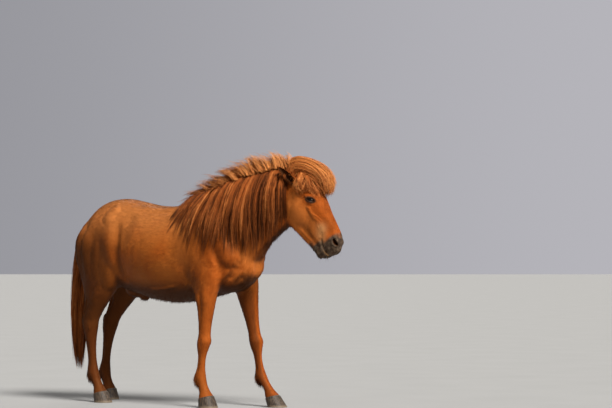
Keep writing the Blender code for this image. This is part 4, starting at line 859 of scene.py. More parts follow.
def ear_form(side):
    """A cupped shell, open outwards and a little forwards, with a rolled rim."""
    root, tip, rise, mouth, cross = ear_frame(side)
    length = (tip - root).length
    rings = []
    for step in range(22):
        share = -0.06 + 1.05 * step / 21
        radius, spread = (read_off(EAR_STATIONS, share, column) for column in (1, 2))
        centre = root + rise * (share * length) - mouth * (0.016 * share * abs(share))
        thick = 0.0042 - 0.0018 * max(0.0, share)
        outer, inner = [], []
        for i in range(EAR_ACROSS):
            around = 2 * i / (EAR_ACROSS - 1) - 1
            turn = math.radians(spread) * around
            way = cross * math.sin(turn) - mouth * math.cos(turn)
            roll = 0.0022 * abs(around) ** 6
            outer.append(centre + way * (radius - roll))
            inside = radius - thick * (1 - 0.45 * abs(around) ** 4)
            inner.append(centre + way * inside + mouth * thick * 0.3)
        rings.append(outer + inner[::-1])
    return solid_from("ear", *ring_solid(rings, EAR_ACROSS))


def ring_solid(rings, wide):
    """Points and faces of a bent plate: rings of outer points and then inner ones."""
    count = len(rings[0])
    points = [point for ring in rings for point in ring]
    faces = []
    for j in range(len(rings) - 1):
        for i in range(count):
            k = (i + 1) % count
            faces.append((j * count + i, j * count + k, (j + 1) * count + k, (j + 1) * count + i))
    last = (len(rings) - 1) * count
    for i in range(wide - 1):
        faces.append((i, count - 1 - i, count - 2 - i, i + 1))
        faces.append((last + i, last + i + 1, last + count - 2 - i, last + count - 1 - i))
    return points, faces


def ball_at_eye(name, side, radius, segments=32, rings=20):
    """A ball about the centre of an eye."""
    return ellipsoid(name, eye_centre(side), (radius, radius, radius), eye_axes(side), segments, rings)


def lid_point(side, turn, out, grow=0.0):
    """A place on the edge of the lids, by its turn round the eye, at a distance out from the eye's centre."""
    lids, across, outward = eye_axes(side)
    lift = math.sin(turn)
    height = (EYE_OPENING[1] + grow) * (1.1 if lift > 0 else 0.9)
    flat = lids * ((EYE_OPENING[0] + grow) * math.cos(turn)) + across * (height * lift * abs(lift) ** 0.5)
    return eye_centre(side) + flat + outward * out


def almond(name, side):
    """The opening between the lids, as a block reaching outwards from inside the eye."""
    rings = [[lid_point(side, 2 * math.pi * i / 40, depth) for i in range(40)] for depth in
             (EYE_RADIUS * 0.72, EYE_RADIUS + 0.03)]
    return loft(name, rings)


def cut_face(body):
    """Opens the lids and the nostrils."""
    for side in (RIGHT, LEFT):
        boolean(body, ball_at_eye("socket", side, EYE_RADIUS + 0.0003), "DIFFERENCE")
        boolean(body, almond("lids", side), "DIFFERENCE")
        turned = (HEAD_DOWN * 0.99 + HEAD_FRONT * 0.06).normalized()
        level = turned.cross(HEAD_LEFT).normalized()
        boolean(body, ellipsoid(
            "nostril", head_point(*NOSTRIL[:2], side * NOSTRIL[2]), (0.026, 0.0115, 0.028),
            (turned, level, turned.cross(level)),
        ), "DIFFERENCE")


def near(places, path, reach):
    """How near each place is to a path, from 1 on it to 0 well away."""
    least = np.full(len(places), 1e9)
    path = [np.array(point) for point in path]
    if len(path) == 1:
        path = path * 2
    for start, end in zip(path, path[1:]):
        along = end - start
        share = np.clip((places - start) @ along / max(along @ along, 1e-12), 0, 1)
        gap = places - (start + share[:, None] * along)
        least = np.minimum(least, (gap * gap).sum(axis=1))
    return np.exp(-least / (reach * reach))


def markings(places, normals):
    """The coat's markings: dark skin, sand-coloured hair and a painted lip highlight, darker hair low on the
    legs, and painted shade where the body shades itself.
    """
    x, y, z = places.T
    down, front, _ = head_frame(places)
    face = face_share(places)
    ragged = 0.010 * np.sin(57 * y + 23 * z) + 0.008 * np.sin(91 * x - 71 * z)
    dark = ramp(down + 0.30 * (-front - 0.03) * (front < -0.03) + ragged, 0.245, 0.285) * face
    sandy_and_lip_highlight = np.zeros(len(places))
    shades = [
        0.94 * ramp(-normals[:, 2], 0.20, 0.80) * (1 - face),  # painted shade on the underside
        0.65 * ramp(-np.sign(y) * normals[:, 1], 0.1, 0.7) * (1 - ramp(z, 0.70, 0.92)),  # painted shade between the legs
        0.80 * (1 - ramp(x, -0.44, -0.14)) * (1 - ramp(z, 0.98, 1.22)),  # painted shade on the hind quarter, which turns away from the light
        0.30 * (1 - ramp(z, 0.84, 1.08)) * (1 - ramp(x, 0.36, 0.50)),  # painted shade on the lower barrel
        0.35 * (1 - ramp(z, 0.10, 0.45)),  # the lower legs
    ]
    for side in (RIGHT, LEFT):
        centre = np.array(eye_centre(side))
        lids, across, outward = arrays(eye_axes(side))
        flat = places - centre
        apart = np.sqrt(((flat @ lids) / 1.60) ** 2 + ((flat @ across) / 0.88) ** 2)
        ring = (1 - ramp(apart, 0.0175, 0.0255)) * (flat @ outward > 0)
        dark = np.maximum(dark, ring)
        # painted shade in the crease behind the eye, running back from the rear of the lids
        corner = [
            centre + outward * 0.022 - lids * reach + across * rise
            for reach, rise in ((0.022, 0.004), (0.036, 0.010), (0.054, 0.020))
        ]
        shades += [0.85 * ring, 0.70 * near(places, corner, 0.0065)]
        shades += [
            strength * near(places, head_path(path, side), reach) for strength, reach, path in FACE_SHADES
        ]
        shades += [
            strength * near(places, [(ahead, side * out, level) for ahead, out, level in path], reach)
            for strength, reach, path in BODY_SHADES
        ]
        # painted shade inside the ear's cup
        share, off = along_ear(places, side)
        inside = (np.linalg.norm(off, axis=1) < 0.036) & (share > -0.15) & (share < 0.96)
        inward = -np.einsum("ij,ij->i", normals, off) / (np.linalg.norm(off, axis=1) + 1e-9)
        shades.append(inside * ramp(inward, -0.1, 0.25) * 0.95)
        # painted shade inside the nostril
        off = places - np.array(head_point(*NOSTRIL[:2], side * NOSTRIL[2]))
        apart = np.sqrt((off @ DOWN / 0.027) ** 2 + (off @ FRONT / 0.0125) ** 2)
        shades.append((1 - ramp(apart, 0.92, 1.04)) * (np.abs(off @ ASIDE) < 0.03))
        # sand-coloured hair, and a painted highlight along the edge of the lips
        for strength, reach, path in SANDY_AND_LIP_HIGHLIGHT:
            sandy_and_lip_highlight = np.maximum(sandy_and_lip_highlight, strength * near(places, head_path(path, side), reach))
    dark, sandy_and_lip_highlight, shade = (np.clip(part, 0, 1) for part in (dark, sandy_and_lip_highlight, np.max(shades, axis=0)))
    return np.stack([dark, sandy_and_lip_highlight * (1 - 0.2 * dark), shade], axis=1)


def painted_lightening(places):
    """Painted light: how much paler the hair is made than on the body, on the cheek and on the breast, where
    the light falls on them.
    """
    front = head_frame(places)[1]
    breast = near(places, [(0.66, 0.02, 0.93), (0.60, 0.02, 0.84)], 0.14)
    return face_share(places) * (-0.10 + 0.54 * (1 - ramp(front, -0.07, 0.02))) + 0.60 * breast


def coloured(thing, name, values):
    """Stores a value of four numbers at each point."""
    layer = thing.data.color_attributes.new(name=name, type="FLOAT_COLOR", domain="POINT")
    layer.data.foreach_set("color", np.ascontiguousarray(values, dtype=np.float32).ravel())


def settled(thing, paint, replaced, slot):
    """Moves a finished piece into the model's frame, gives it its material, and hides the parts of the model
    that it replaces.
    """
    thing.data.transform(Matrix.Translation(-CENTRE))
    thing.data.materials.clear()
    thing.data.materials.append(paint)
    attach(thing, "root")
    if replaced:
        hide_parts(*replaced)


def from_arrays(name, points, triangles, baked, marks, lean=None):
    """A piece from arrays: its points, triangles, place of each point on the bake map, and marks.

    Where lean is given, the light falls on each point as on the skin below it.
    """
    data = bpy.data.meshes.new(name)
    data.vertices.add(len(points))
    data.vertices.foreach_set("co", np.ascontiguousarray(points, dtype=np.float32).ravel())
    data.loops.add(len(triangles) * 3)
    data.loops.foreach_set("vertex_index", np.ascontiguousarray(triangles, dtype=np.int32).ravel())
    data.polygons.add(len(triangles))
    data.polygons.foreach_set("loop_start", np.arange(0, len(triangles) * 3, 3, dtype=np.int32))
    data.update(calc_edges=True)
    data.shade_smooth()
    if lean is not None:
        data.normals_split_custom_set_from_vertices(lean.astype(np.float32))
    layer = data.uv_layers.new(name="OFBake")
    layer.data.foreach_set("uv", np.ascontiguousarray(baked[triangles.ravel()], dtype=np.float32).ravel())
    made = bpy.data.objects.new(name, data)
    bpy.context.scene.collection.objects.link(made)
    coloured(made, "marks", marks)
    return made


def strands(name, paths, ups, widths, thicks, marks, baked):
    """Closed three-sided strands along paths. Each tapers to a point. Marks is given per strand and point."""
    count, steps = paths.shape[:2]
    along = unit(np.gradient(paths, axis=1))
    across = unit(np.cross(along, ups))
    up = np.cross(across, along)
    wide, deep = widths[:, :, None], thicks[:, :, None]
    ring = np.stack([paths + across * wide / 2, paths - across * wide / 2, paths - up * deep], axis=2)
    rings = steps - 1
    body = ring[:, :rings].reshape(count, rings * 3, 3)
    points = np.concatenate([body, paths[:, -1:, :]], axis=1)
    faces = [(0, 1, 2)]
    for j in range(rings - 1):
        for i in range(3):
            a, b = j * 3 + i, j * 3 + (i + 1) % 3
            faces += [(a, a + 3, b), (b, a + 3, b + 3)]
    last = (rings - 1) * 3
    faces += [(last + i, rings * 3, last + (i + 1) % 3) for i in range(3)]
    per = rings * 3 + 1
    triangles = (np.array(faces)[None] + (np.arange(count) * per)[:, None, None]).reshape(-1, 3)
    patch = np.zeros((per, 2))
    patch[:-1, 0] = np.tile((0.0, 1.0, 0.5), rings)
    patch[:-1, 1] = np.repeat(np.arange(rings) / steps, 3)
    patch[-1] = (0.5, 1.0)
    flat = (baked[:, None, :] + patch[None] * 0.003).reshape(-1, 2)
    spread = np.concatenate([np.repeat(marks[:, :rings], 3, axis=1), marks[:, -1:]], axis=1).reshape(-1, 4)
    lean = np.stack([up + across * 0.7, up - across * 0.7, up * -0.7 + across * 0.01], axis=2)[:, :rings]
    lean = np.concatenate([lean.reshape(count, rings * 3, 3), up[:, -1:]], axis=1).reshape(-1, 3)
    return from_arrays(name, points.reshape(-1, 3), triangles, flat, spread, unit(lean))


def short_tufts(name, roots, normals, ways, lengths, widths, lifts, marks, baked):
    """Short tufts: each a flat blade of four corners that lies along the coat."""
    across = unit(np.cross(ways, normals))
    tip = roots + ways * (lengths * np.cos(lifts))[:, None] + normals * (lengths * np.sin(lifts))[:, None]
    half = (widths / 2)[:, None]
    points = np.stack([
        roots + across * half + normals * 0.0006, roots - across * half + normals * 0.0006,
        roots - normals * 0.0015 + ways * 0.002, tip,
    ], axis=1)
    faces = np.array(((0, 1, 2), (0, 3, 1), (1, 3, 2), (2, 3, 0)))
    count = len(roots)
    triangles = (faces[None] + (np.arange(count) * 4)[:, None, None]).reshape(-1, 3)
    patch = np.array(((0, 0), (1, 0), (0.5, 0.5), (0.5, 1))) * 0.003
    flat = (baked[:, None, :] + patch[None]).reshape(-1, 2)
    lean = np.stack([
        normals + across * 0.25, normals - across * 0.25, normals, normals + ways * 0.15
    ], axis=1)
    marks = np.repeat(marks, 4, axis=0)
    return from_arrays(name, points.reshape(-1, 3), triangles, flat, marks, unit(lean, 0).reshape(-1, 3))


def crest_point(skin, along, aside=0.0):
    """Where the skin's top lies, at a share of the crest that carries the mane."""
    x = MANE_FROM + (MANE_TO - MANE_FROM) * along
    return skin.ray_cast(Vector((x, crest_swing(x) + aside, 2.0)), Vector((0, 0, -1)))[0]


def mane_path(skin, side, along, length, lift, drift, wave):
    """One lock's way from the crest down the neck: its points and the way out of the skin at each."""
    spot, normal = skin.find_nearest(crest_point(skin, along) + Vector((0, side * 0.010, 0)))[:2]
    lean = Vector((-0.04 - 0.19 * (1 - along) ** 2 + drift, side * 0.02, -1)).normalized()
    path, outs = [], []
    for step in range(PATH_STEPS + 1):
        share = step / PATH_STEPS
        bend = Vector((0.10 * math.sin(wave + 5.5 * share), 0, 0)) * share
        if side == RIGHT:
            path.append(spot + normal * (read_off(RIGHT_RISE, share) * lift))
            outs.append(normal)
        else:
            rise = read_off(LEFT_RISE, share) * lift * read_off(PUFF, along)
            back = Vector((-0.10 * share * (1 - share) * 4 * lift, side * 0.02, 0))
            path.append(spot + Vector((0, 0, rise)) + normal * 0.012 + back)
            outs.append((normal + Vector((0, 0, 1)) * (1 - share)).normalized())
        fall = lean + bend
        flat = fall - normal * fall.dot(normal)
        if normal.z < -0.25 or flat.length < 0.2:
            spot = spot + fall * (length / PATH_STEPS)
        else:
            spot, normal = skin.find_nearest(spot + flat.normalized() * (length / PATH_STEPS))[:2]
    return smoothed(path), smoothed(outs)


def blown_path(skin, along, aside, lift, length, chance):
    """A lock that the wind carries back over the crest, arching up and then over."""
    spot, normal = skin.find_nearest(crest_point(skin, along, aside))[:2]
    place = np.array(spot) + np.array(normal) * (0.028 * (aside < -0.008) - 0.004)
    back = read_off(BACKWARD, along) + chance.gauss(0, 0.10)
    up = read_off(UPWARD, along) + 0.60 * (lift - 0.5) + chance.gauss(0, 0.08)
    left = 0.10 + 0.25 * chance.random() - 1.2 * min(0.0, aside)
    droop = read_off(BLOWN_FALL, along) * (0.6 + 0.6 * chance.random())
    path = [place]
    for step in range(PATH_STEPS):
        share = (step + 0.5) / PATH_STEPS
        way = np.array((
            -back * (0.75 + 0.5 * share), left * (1 - 0.4 * share),
            up * (1.25 - 0.5 * share) - droop * share * share,
        ))
        place = place + way / np.linalg.norm(way) * (length / PATH_STEPS)
        path.append(place)
    path = np.array(path)
    return path, ribbon_ups(path, np.tile((0.25, -0.25, 1.0), (PATH_STEPS + 1, 1)))


def ribbon_ups(path, near_up):
    """Ways out of the lock along its path, all square to it and near the given way."""
    along = unit(np.gradient(path, axis=0), 1e-9)
    return unit(near_up - along * np.einsum("ij,ij->i", near_up, along)[:, None], 1e-9)


def clumped(paths, outs, wide, thick, children, steps, chance, sway, stray, pinch, shorten):
    """Strands round each lock's path: spread at the root, drawn together towards the tip, a few astray."""
    locks, fine = paths.shape[:2]
    count = locks * children
    base = np.repeat(paths, children, axis=0)
    out = np.repeat(outs, children, axis=0)
    ends = 1 - shorten * chance.random(count) ** 1.5
    share = np.linspace(0, 1, steps)
    at = share[None, :] * ends[:, None] * (fine - 1)
    low = np.minimum(at.astype(int), fine - 2)
    part = (at - low)[:, :, None]
    rows = np.arange(count)[:, None]
    path = base[rows, low] * (1 - part) + base[rows, low + 1] * part
    up = out[rows, low] * (1 - part) + out[rows, low + 1] * part
    along = unit(np.gradient(path, axis=1))
    across = unit(np.cross(along, up))
    up = np.cross(across, along)
    turn = chance.random(count) * 2 * np.pi
    radius = np.sqrt(chance.random(count))
    u, v = radius * np.cos(turn), radius * np.sin(turn)
    wild = chance.random(count) < stray
    hold = np.where(wild, 0.15, pinch)[:, None]
    lock_share = share[None, :] * ends[:, None]
    spread = 1 - hold * lock_share ** 1.4
    lock_wide = np.repeat(wide, children)[:, None]
    lock_thick = np.repeat(thick, children)[:, None]
    sideways = u[:, None] * lock_wide * spread
    outwards = (v[:, None] * 0.5 + 0.5 + wild[:, None] * lock_share * 0.8) * lock_thick * spread
    phase = np.repeat(chance.random(locks) * 2 * np.pi, children)[:, None]
    phase = phase + chance.normal(0, 0.35, count)[:, None]
    beat = np.repeat(0.5 + 0.6 * chance.random(locks), children)[:, None]
    swing = sway * (0.6 + 1.4 * wild[:, None]) * lock_share
    sideways = sideways + np.sin(2 * np.pi * beat * lock_share + phase) * swing
    outwards = outwards + 0.5 * np.cos(2 * np.pi * beat * lock_share * 1.3 + phase) * swing
    path = path + across * sideways[:, :, None] + up * outwards[:, :, None]
    return path, up, v * 0.5 + 0.5


def strand_marks(depth, lock_tone, children, steps, chance, shade, bleach, low):
    """Marks along each strand: shade inside the lock and low in the dark ones, a paler tip, its own tone."""
    count = len(depth)
    share = np.linspace(0, 1, steps)[None, :]
    tone = np.clip(np.repeat(lock_tone, children) + chance.normal(0, 0.16, count), 0, 1)
    marks = np.zeros((count, steps, 4))
    marks[:, :, 1] = np.clip(bleach * (0.25 + 0.75 * share) * np.clip(tone * 1.6 - 0.4, 0, 1)[:, None], 0, 1)
    inside = shade * (1 - depth)[:, None] * (1 - 0.35 * share)
    marks[:, :, 2] = np.clip(inside + low * share ** 1.5 * np.clip(1 - 1.6 * tone, 0, 1)[:, None], 0, 1)
    marks[:, :, 3] = tone[:, None]
    return marks


def tapered(count, steps, width, chance):
    """The width of each strand along its length."""
    share = np.linspace(0, 1, steps)[None, :]
    own = width * (0.7 + 0.6 * chance.random(count))[:, None]
    return own * (0.75 + 0.35 * np.sin(np.pi * np.clip(share * 1.2, 0, 1))) * (1 - share ** 2.5 * 0.75)


def strand_piece(name, locks, children, steps, width, chance, shade, bleach, low=0.3, **manner):
    """A piece of long hair from its locks: path, way out, width, depth, tone and place on the bake map."""
    paths, outs, wide, thick, tone, roots = (np.array(part) for part in zip(*locks))
    strand, up, depth = clumped(paths, outs, wide, thick, children, steps, chance, **manner)
    marks = strand_marks(depth, np.clip(tone, 0, 1), children, steps, chance, shade, bleach, low)
    widths = tapered(len(strand), steps, width, chance)
    baked = np.repeat(roots, children, axis=0) + chance.normal(0, 0.006, (len(strand), 2))
    return strands(name, strand, up, widths, widths * 0.6, marks, np.clip(baked, 0.004, 0.992))


def clear_of_ears(path):
    """Whether a lock passes both ears without lying over them."""
    for side in (RIGHT, LEFT):
        root, tip, rise, mouth = arrays(ear_frame(side)[:4])
        if near(path, [root + rise * 0.035 + mouth * 0.022, tip + mouth * 0.010], 0.030).max() > 0.42:
            return False
    return True


def near_mane(skin, chance, draw):
    """The mane on the right: long narrow locks that fall close over the neck and the shoulder."""
    locks = []
    count = 250
    for i in range(count):
        layer = i % 3
        along = 0.05 + 0.95 * (i + chance.random()) / count
        length = read_off(MANE_LENGTH, along) * (0.92 + 0.34 * chance.random()) * (1.12, 1.06, 0.92)[layer]
        lift = (0.25, 0.62, 1.0)[layer] + 0.16 * chance.random()
        drift = 0.03 * math.sin(19 * along + 1.0) + 0.03 * math.sin(47 * along) + chance.gauss(0, 0.045)
        path, out = mane_path(skin, RIGHT, along, length, lift, drift, 6.28 * chance.random())
        tone = 0.12 + 0.10 * (1 - along) ** 3 + 0.11 * layer + 0.07 * math.sin(31 * along)
        tone += chance.gauss(0, 0.12)
        locks.append((
            path, out, 0.007 + 0.005 * chance.random(), 0.005 + 0.005 * chance.random(), tone,
            (0.03 + 0.94 * along, 0.15 + 0.3 * layer + 0.1 * chance.random()),
        ))
    return strand_piece(
        "mane_near", locks, 18, 8, 0.0026, draw, sway=0.005, stray=0.12, pinch=0.56, shade=0.66, bleach=0.22,
        shorten=0.28, low=0.8,
    )


def far_mane(skin, chance, draw):
    """The mane that goes over to the left: lifted by the wind, and then down the far side of the neck."""
    locks = []
    count = 150
    for i in range(count):
        layer = i % 3
        along = (i + chance.random()) / count
        length = read_off(MANE_LENGTH, along) * (0.84 + 0.26 * chance.random())
        lift = (0.22, 0.44, 0.66)[layer] + 0.10 * chance.random()
        path, out = mane_path(skin, LEFT, along, length, lift, chance.gauss(0, 0.05), 6.28 * chance.random())
        if along > 0.945 or not clear_of_ears(path):
            continue
        tone = 0.40 + 0.12 * layer + chance.gauss(0, 0.18)
        locks.append((
            path, out, 0.010 + 0.007 * chance.random(), 0.008 + 0.006 * chance.random(), tone,
            (0.03 + 0.94 * along, 0.15 + 0.3 * layer + 0.1 * chance.random()),
        ))
    return strand_piece(
        "mane_far", locks, 19, 8, 0.0032, draw, sway=0.008, stray=0.08, pinch=0.65, shade=0.65, bleach=0.20,
        shorten=0.28,
    )


def blown_mane(skin, chance, draw):
    """The top of the mane, blown back over the crest in soft arching fans with fine tips."""
    locks = []
    count = 390
    for i in range(count):
        along = ((i + chance.random()) / count) ** 0.92
        bunch = 0.5 + 0.15 * math.sin(58 * along + 1.0) + 0.10 * math.sin(103 * along)
        lift = min(1.0, max(0.0, bunch + 0.9 * (chance.random() - 0.5)))
        length = read_off(BLOWN_LENGTH, along) * (0.60 + 0.44 * chance.random())
        aside = chance.uniform(-read_off(BLOWN_START, along), 0.012)
        path, out = blown_path(skin, along, aside, lift, length, chance)
        if not clear_of_ears(path):
            continue
        tone = 0.90 + 0.08 * math.sin(23 * along) + 0.14 * (lift - 0.5) + chance.gauss(0, 0.15)
        locks.append((
            path, out, 0.020 + 0.022 * chance.random(), 0.012 + 0.012 * chance.random(), tone,
            (0.03 + 0.94 * along, 0.5 + 0.4 * chance.random()),
        ))
    return strand_piece(
        "mane_blown", locks, 14, 7, 0.0026, draw, sway=0.005, stray=0.26, pinch=0.42, shorten=0.55,
        shade=0.24, bleach=0.62,
    )


def smoothed(path, times=6):
    """The same path without its small kinks. Its ends stay."""
    path = np.array(path)
    for _ in range(times):
        path[1:-1] = (path[:-2] + 2 * path[1:-1] + path[2:]) / 4
    return path


def forelock(skin, chance, draw):
    """The forelock: blown forwards off the poll into a full dome, with shorter hair over the forehead."""
    locks = []
    for _ in range(150):
        around, radius = 2 * math.pi * chance.random(), chance.random() ** 0.35
        aside, level = radius * math.cos(around), 0.5 - 0.5 * radius * math.sin(around)
        end = 0.80 + 0.22 * chance.random() if chance.random() < 0.65 else 0.50 + 0.35 * chance.random()
        start = 0.02 + 0.14 * chance.random()
        path = []
        for step in range(PATH_STEPS + 1):
            share = min(1.0, start + (end - start) * step / PATH_STEPS)
            broad = 0.030 + 0.040 * math.sin(math.pi * min(1.0, 0.12 + share * 0.80))
            off = aside * broad + 0.010 * math.sin(5 * share + 7 * aside) * share
            path.append(forelock_point(share, min(1.0, level + 0.10 * aside * aside), off))
        path = np.array(path)
        if not clear_of_ears(path):
            continue
        outwards = FRONT * 0.7 * (1 - level) - DOWN * 0.8 * (1 - level) + ASIDE * aside * 1.2
        tone = 0.90 - 0.30 * level + chance.gauss(0, 0.11)
        locks.append((
            path, ribbon_ups(path, np.tile(outwards, (PATH_STEPS + 1, 1))), 0.008 + 0.008 * chance.random(),
            0.006 + 0.006 * chance.random(), tone, (0.5 + 0.44 * aside, 0.06 + 0.5 * level),
        ))
    for _ in range(130):
        aside = chance.uniform(-1, 1)
        over = chance.random()
        start = np.array((-0.205 + 0.05 * over, -0.030 + 0.060 * over, aside * 0.030))
        front = -0.035 + 0.115 * chance.random() ** 0.8
        low = -0.050 + 0.070 * float(ramp(np.array(front), 0.035, 0.075)) + chance.gauss(0, 0.008)
        end = np.array((low, front, aside * 0.085))
        rise = 0.010 + 0.020 * chance.random()
        path, outs = [], []
        for step in range(PATH_STEPS + 1):
            share = step / PATH_STEPS
            down, ahead, left = start + (end - start) * share
            spot, normal = skin.find_nearest(head_point(down, ahead, left))[:2]
            path.append(spot + normal * (rise * math.sin(math.pi * (0.15 + 0.75 * share)) + 0.002))
            outs.append(normal)
        path, outs = smoothed(path), smoothed(outs)
        if not clear_of_ears(path):
            continue
        tone = 0.60 + chance.gauss(0, 0.14)
        locks.append((
            path, outs, 0.009 + 0.007 * chance.random(), 0.004 + 0.004 * chance.random(),
            tone, (0.5 + 0.44 * aside, 0.62 + 0.32 * chance.random()),
        ))
    return strand_piece(
        "forelock", locks, 13, 10, 0.0026, draw, sway=0.006, stray=0.30, pinch=0.30, shorten=0.36, shade=0.40,
        bleach=0.22,
    )


def tail(chance, draw):
    """The tail, from the dock down behind the legs."""
    locks = []
    for _ in range(170):
        start = 0.30 * chance.random() ** 0.8
        end = 0.74 + 0.26 * chance.random() ** 0.6
        turn = 2 * math.pi * chance.random()
        radius = chance.random() ** 0.4
        path, ups = [], []
        for step in range(PATH_STEPS + 1):
            step_share = step / PATH_STEPS
            share = start + (end - start) * step_share
            x, z, half, deep = curve_through(TAIL, share)
            grow = min(1.0, 0.55 + 1.6 * step_share)
            swirl = turn + 0.5 * (step_share - 0.5)
            off = radius * grow * (1 - 0.35 * max(0.0, step_share - 0.75) * 4 * (end < 0.9))
            path.append((x + math.sin(swirl) * deep * 0.85 * off, math.cos(swirl) * half * 0.92 * off, z))
            ups.append((math.sin(swirl) - 0.2, math.cos(swirl), 0.15))
        path = np.array(path)
        tone = 0.22 + 0.22 * radius + chance.gauss(0, 0.15)
        locks.append((
            path, ribbon_ups(path, np.array(ups)), 0.009 + 0.006 * chance.random(),
            0.006 + 0.004 * chance.random(), tone,
            (turn / (2 * math.pi) * 0.96 + 0.02, 0.04 + 0.9 * start / 0.3),
        ))
    return strand_piece(
        "tail", locks, 19, 8, 0.0034, draw, sway=0.007, stray=0.05, pinch=0.6, shorten=0.28, shade=0.7,
        bleach=0.1,
    )


def triangles_of(thing):
    """The corners and areas of a mesh's triangles, in an order that doesn't hang on that of its faces."""
    data = thing.data
    data.calc_loop_triangles()
    corners = np.empty(len(data.loop_triangles) * 3, np.int64)
    data.loop_triangles.foreach_get("vertices", corners)
    corners = corners.reshape(-1, 3)
    first = corners.argmin(axis=1)
    corners = np.stack([corners[np.arange(len(corners)), (first + k) % 3] for k in range(3)], axis=1)
    corners = corners[np.lexsort(corners.T[::-1])]
    places = places_of(thing)
    a, b, c = (places[corners[:, k]] for k in range(3))
    return corners, np.linalg.norm(np.cross(b - a, c - a), axis=1) / 2


def scattered(skin, weight, count, draw):
    """Places over the skin, more where the weight of its points is higher, with the normal at each."""
    corners, area = triangles_of(skin)
    share = area * weight[corners].mean(axis=1)
    chosen = np.searchsorted(np.cumsum(share) / share.sum(), draw.random(count)).clip(0, len(corners) - 1)
    u, v = np.sqrt(draw.random(count)), draw.random(count)
    blend = np.stack([1 - u, u * (1 - v), u * v], axis=1)
    places, normals = places_of(skin), normals_of(skin)
    spot = (places[corners[chosen]] * blend[:, :, None]).sum(axis=1)
    normal = (normals[corners[chosen]] * blend[:, :, None]).sum(axis=1)
    return spot, unit(normal)


def lie_of_coat(places, normals):
    """The way the short hair lies, at each place."""
    x, y, z = places.T
    flow = np.zeros((len(places), 3)) + np.array((-0.90, 0.0, -0.42))
    neck = (ramp(x, 0.50, 0.72) * ramp(z, 0.95, 1.10))[:, None]
    flow = flow * (1 - neck) + np.array((-0.62, 0.0, -0.78)) * neck
    chest = (ramp(x, 0.56, 0.66) * (1 - ramp(z, 1.00, 1.12)))[:, None]
    outwards = np.sign(y)[:, None] * np.array((0, 0.25, 0))
    flow = flow * (1 - chest) + (np.array((-0.10, 0.0, -0.95)) + outwards) * chest
    rump = ((1 - ramp(x, -0.52, -0.36)) * ramp(z, 0.75, 0.90))[:, None]
    flow = flow * (1 - rump) + np.array((-0.40, 0.0, -0.90)) * rump
    leg = (1 - ramp(z, 0.62, 0.82))[:, None] * (np.abs(y) > 0.045)[:, None]
    flow = flow * (1 - leg) + np.array((-0.12, 0.0, -1.0)) * leg
    face = face_share(places)[:, None]
    cheek = (1 - ramp(head_frame(places)[1], -0.14, -0.02))[:, None]
    on_head = DOWN * 0.9 + FRONT * (-0.25 - 0.5 * cheek)
    flow = flow * (1 - face) + on_head * face
    for side in (RIGHT, LEFT):
        share, off = along_ear(places, side)
        on_ear = (np.linalg.norm(off, axis=1) < 0.036) & (share > 0.0)
        flow = np.where(on_ear[:, None], np.array(ear_frame(side)[2]), flow)
    return unit(flow - normals * np.einsum("ij,ij->i", flow, normals)[:, None], 1e-9)


def round_share(beside, below):
    """The turn round a line, from 0 to 1."""
    return np.arctan2(beside, below) / (2 * np.pi) + 0.5


def unwrapped(places, region):
    """The skin's own shape laid flat for one piece of coat: along the body, then round it."""
    x, y, z = places.T
    if region == "trunk":
        flat = (x + 0.75) / 1.35, round_share(y, 1.0 - z)
    elif region == "neck":
        middle = np.interp(x, (0.3, 1.03), (0.98, 1.32))
        swing = np.interp(x, [row[0] for row in NECK], [row[5] for row in NECK])
        flat = (x * 0.6 + z * 0.4 - 0.40) / 0.90, round_share(y - swing, middle - z)
    elif region == "head":
        down, front, left = head_frame(places)
        flat = (down + 0.30) / 0.68, round_share(left, front + 0.05)
    else:
        leg = (x > 0) * 2 + (y > 0)
        out = np.where(x > 0, 0.155, 0.145)
        middle = np.where(x > 0, np.where(y > 0, 0.52, 0.42), np.where(y > 0, -0.60, -0.54))
        flat = (leg + 0.04 + 0.92 * round_share(np.abs(y) - out, x - middle)) / 4, z / 0.95
    return np.clip(np.stack(flat, axis=1), 0.002, 0.994)


def regions_of(places):
    """Which piece of coat grows at each point of the skin."""
    x, y, z = places.T
    down, front, _ = head_frame(places)
    head = (down > -0.30) & (front > -0.26) & (x > 0.93) & (z > 0.9) & ~((down < -0.10) & (front < -0.10))
    leg = (z < 0.70) & (np.abs(y) > 0.04) & ~head
    neck = (x > 0.36) & ~head & ~leg
    return {"trunk": ~head & ~leg & ~neck, "neck": neck, "head": head, "legs": leg}


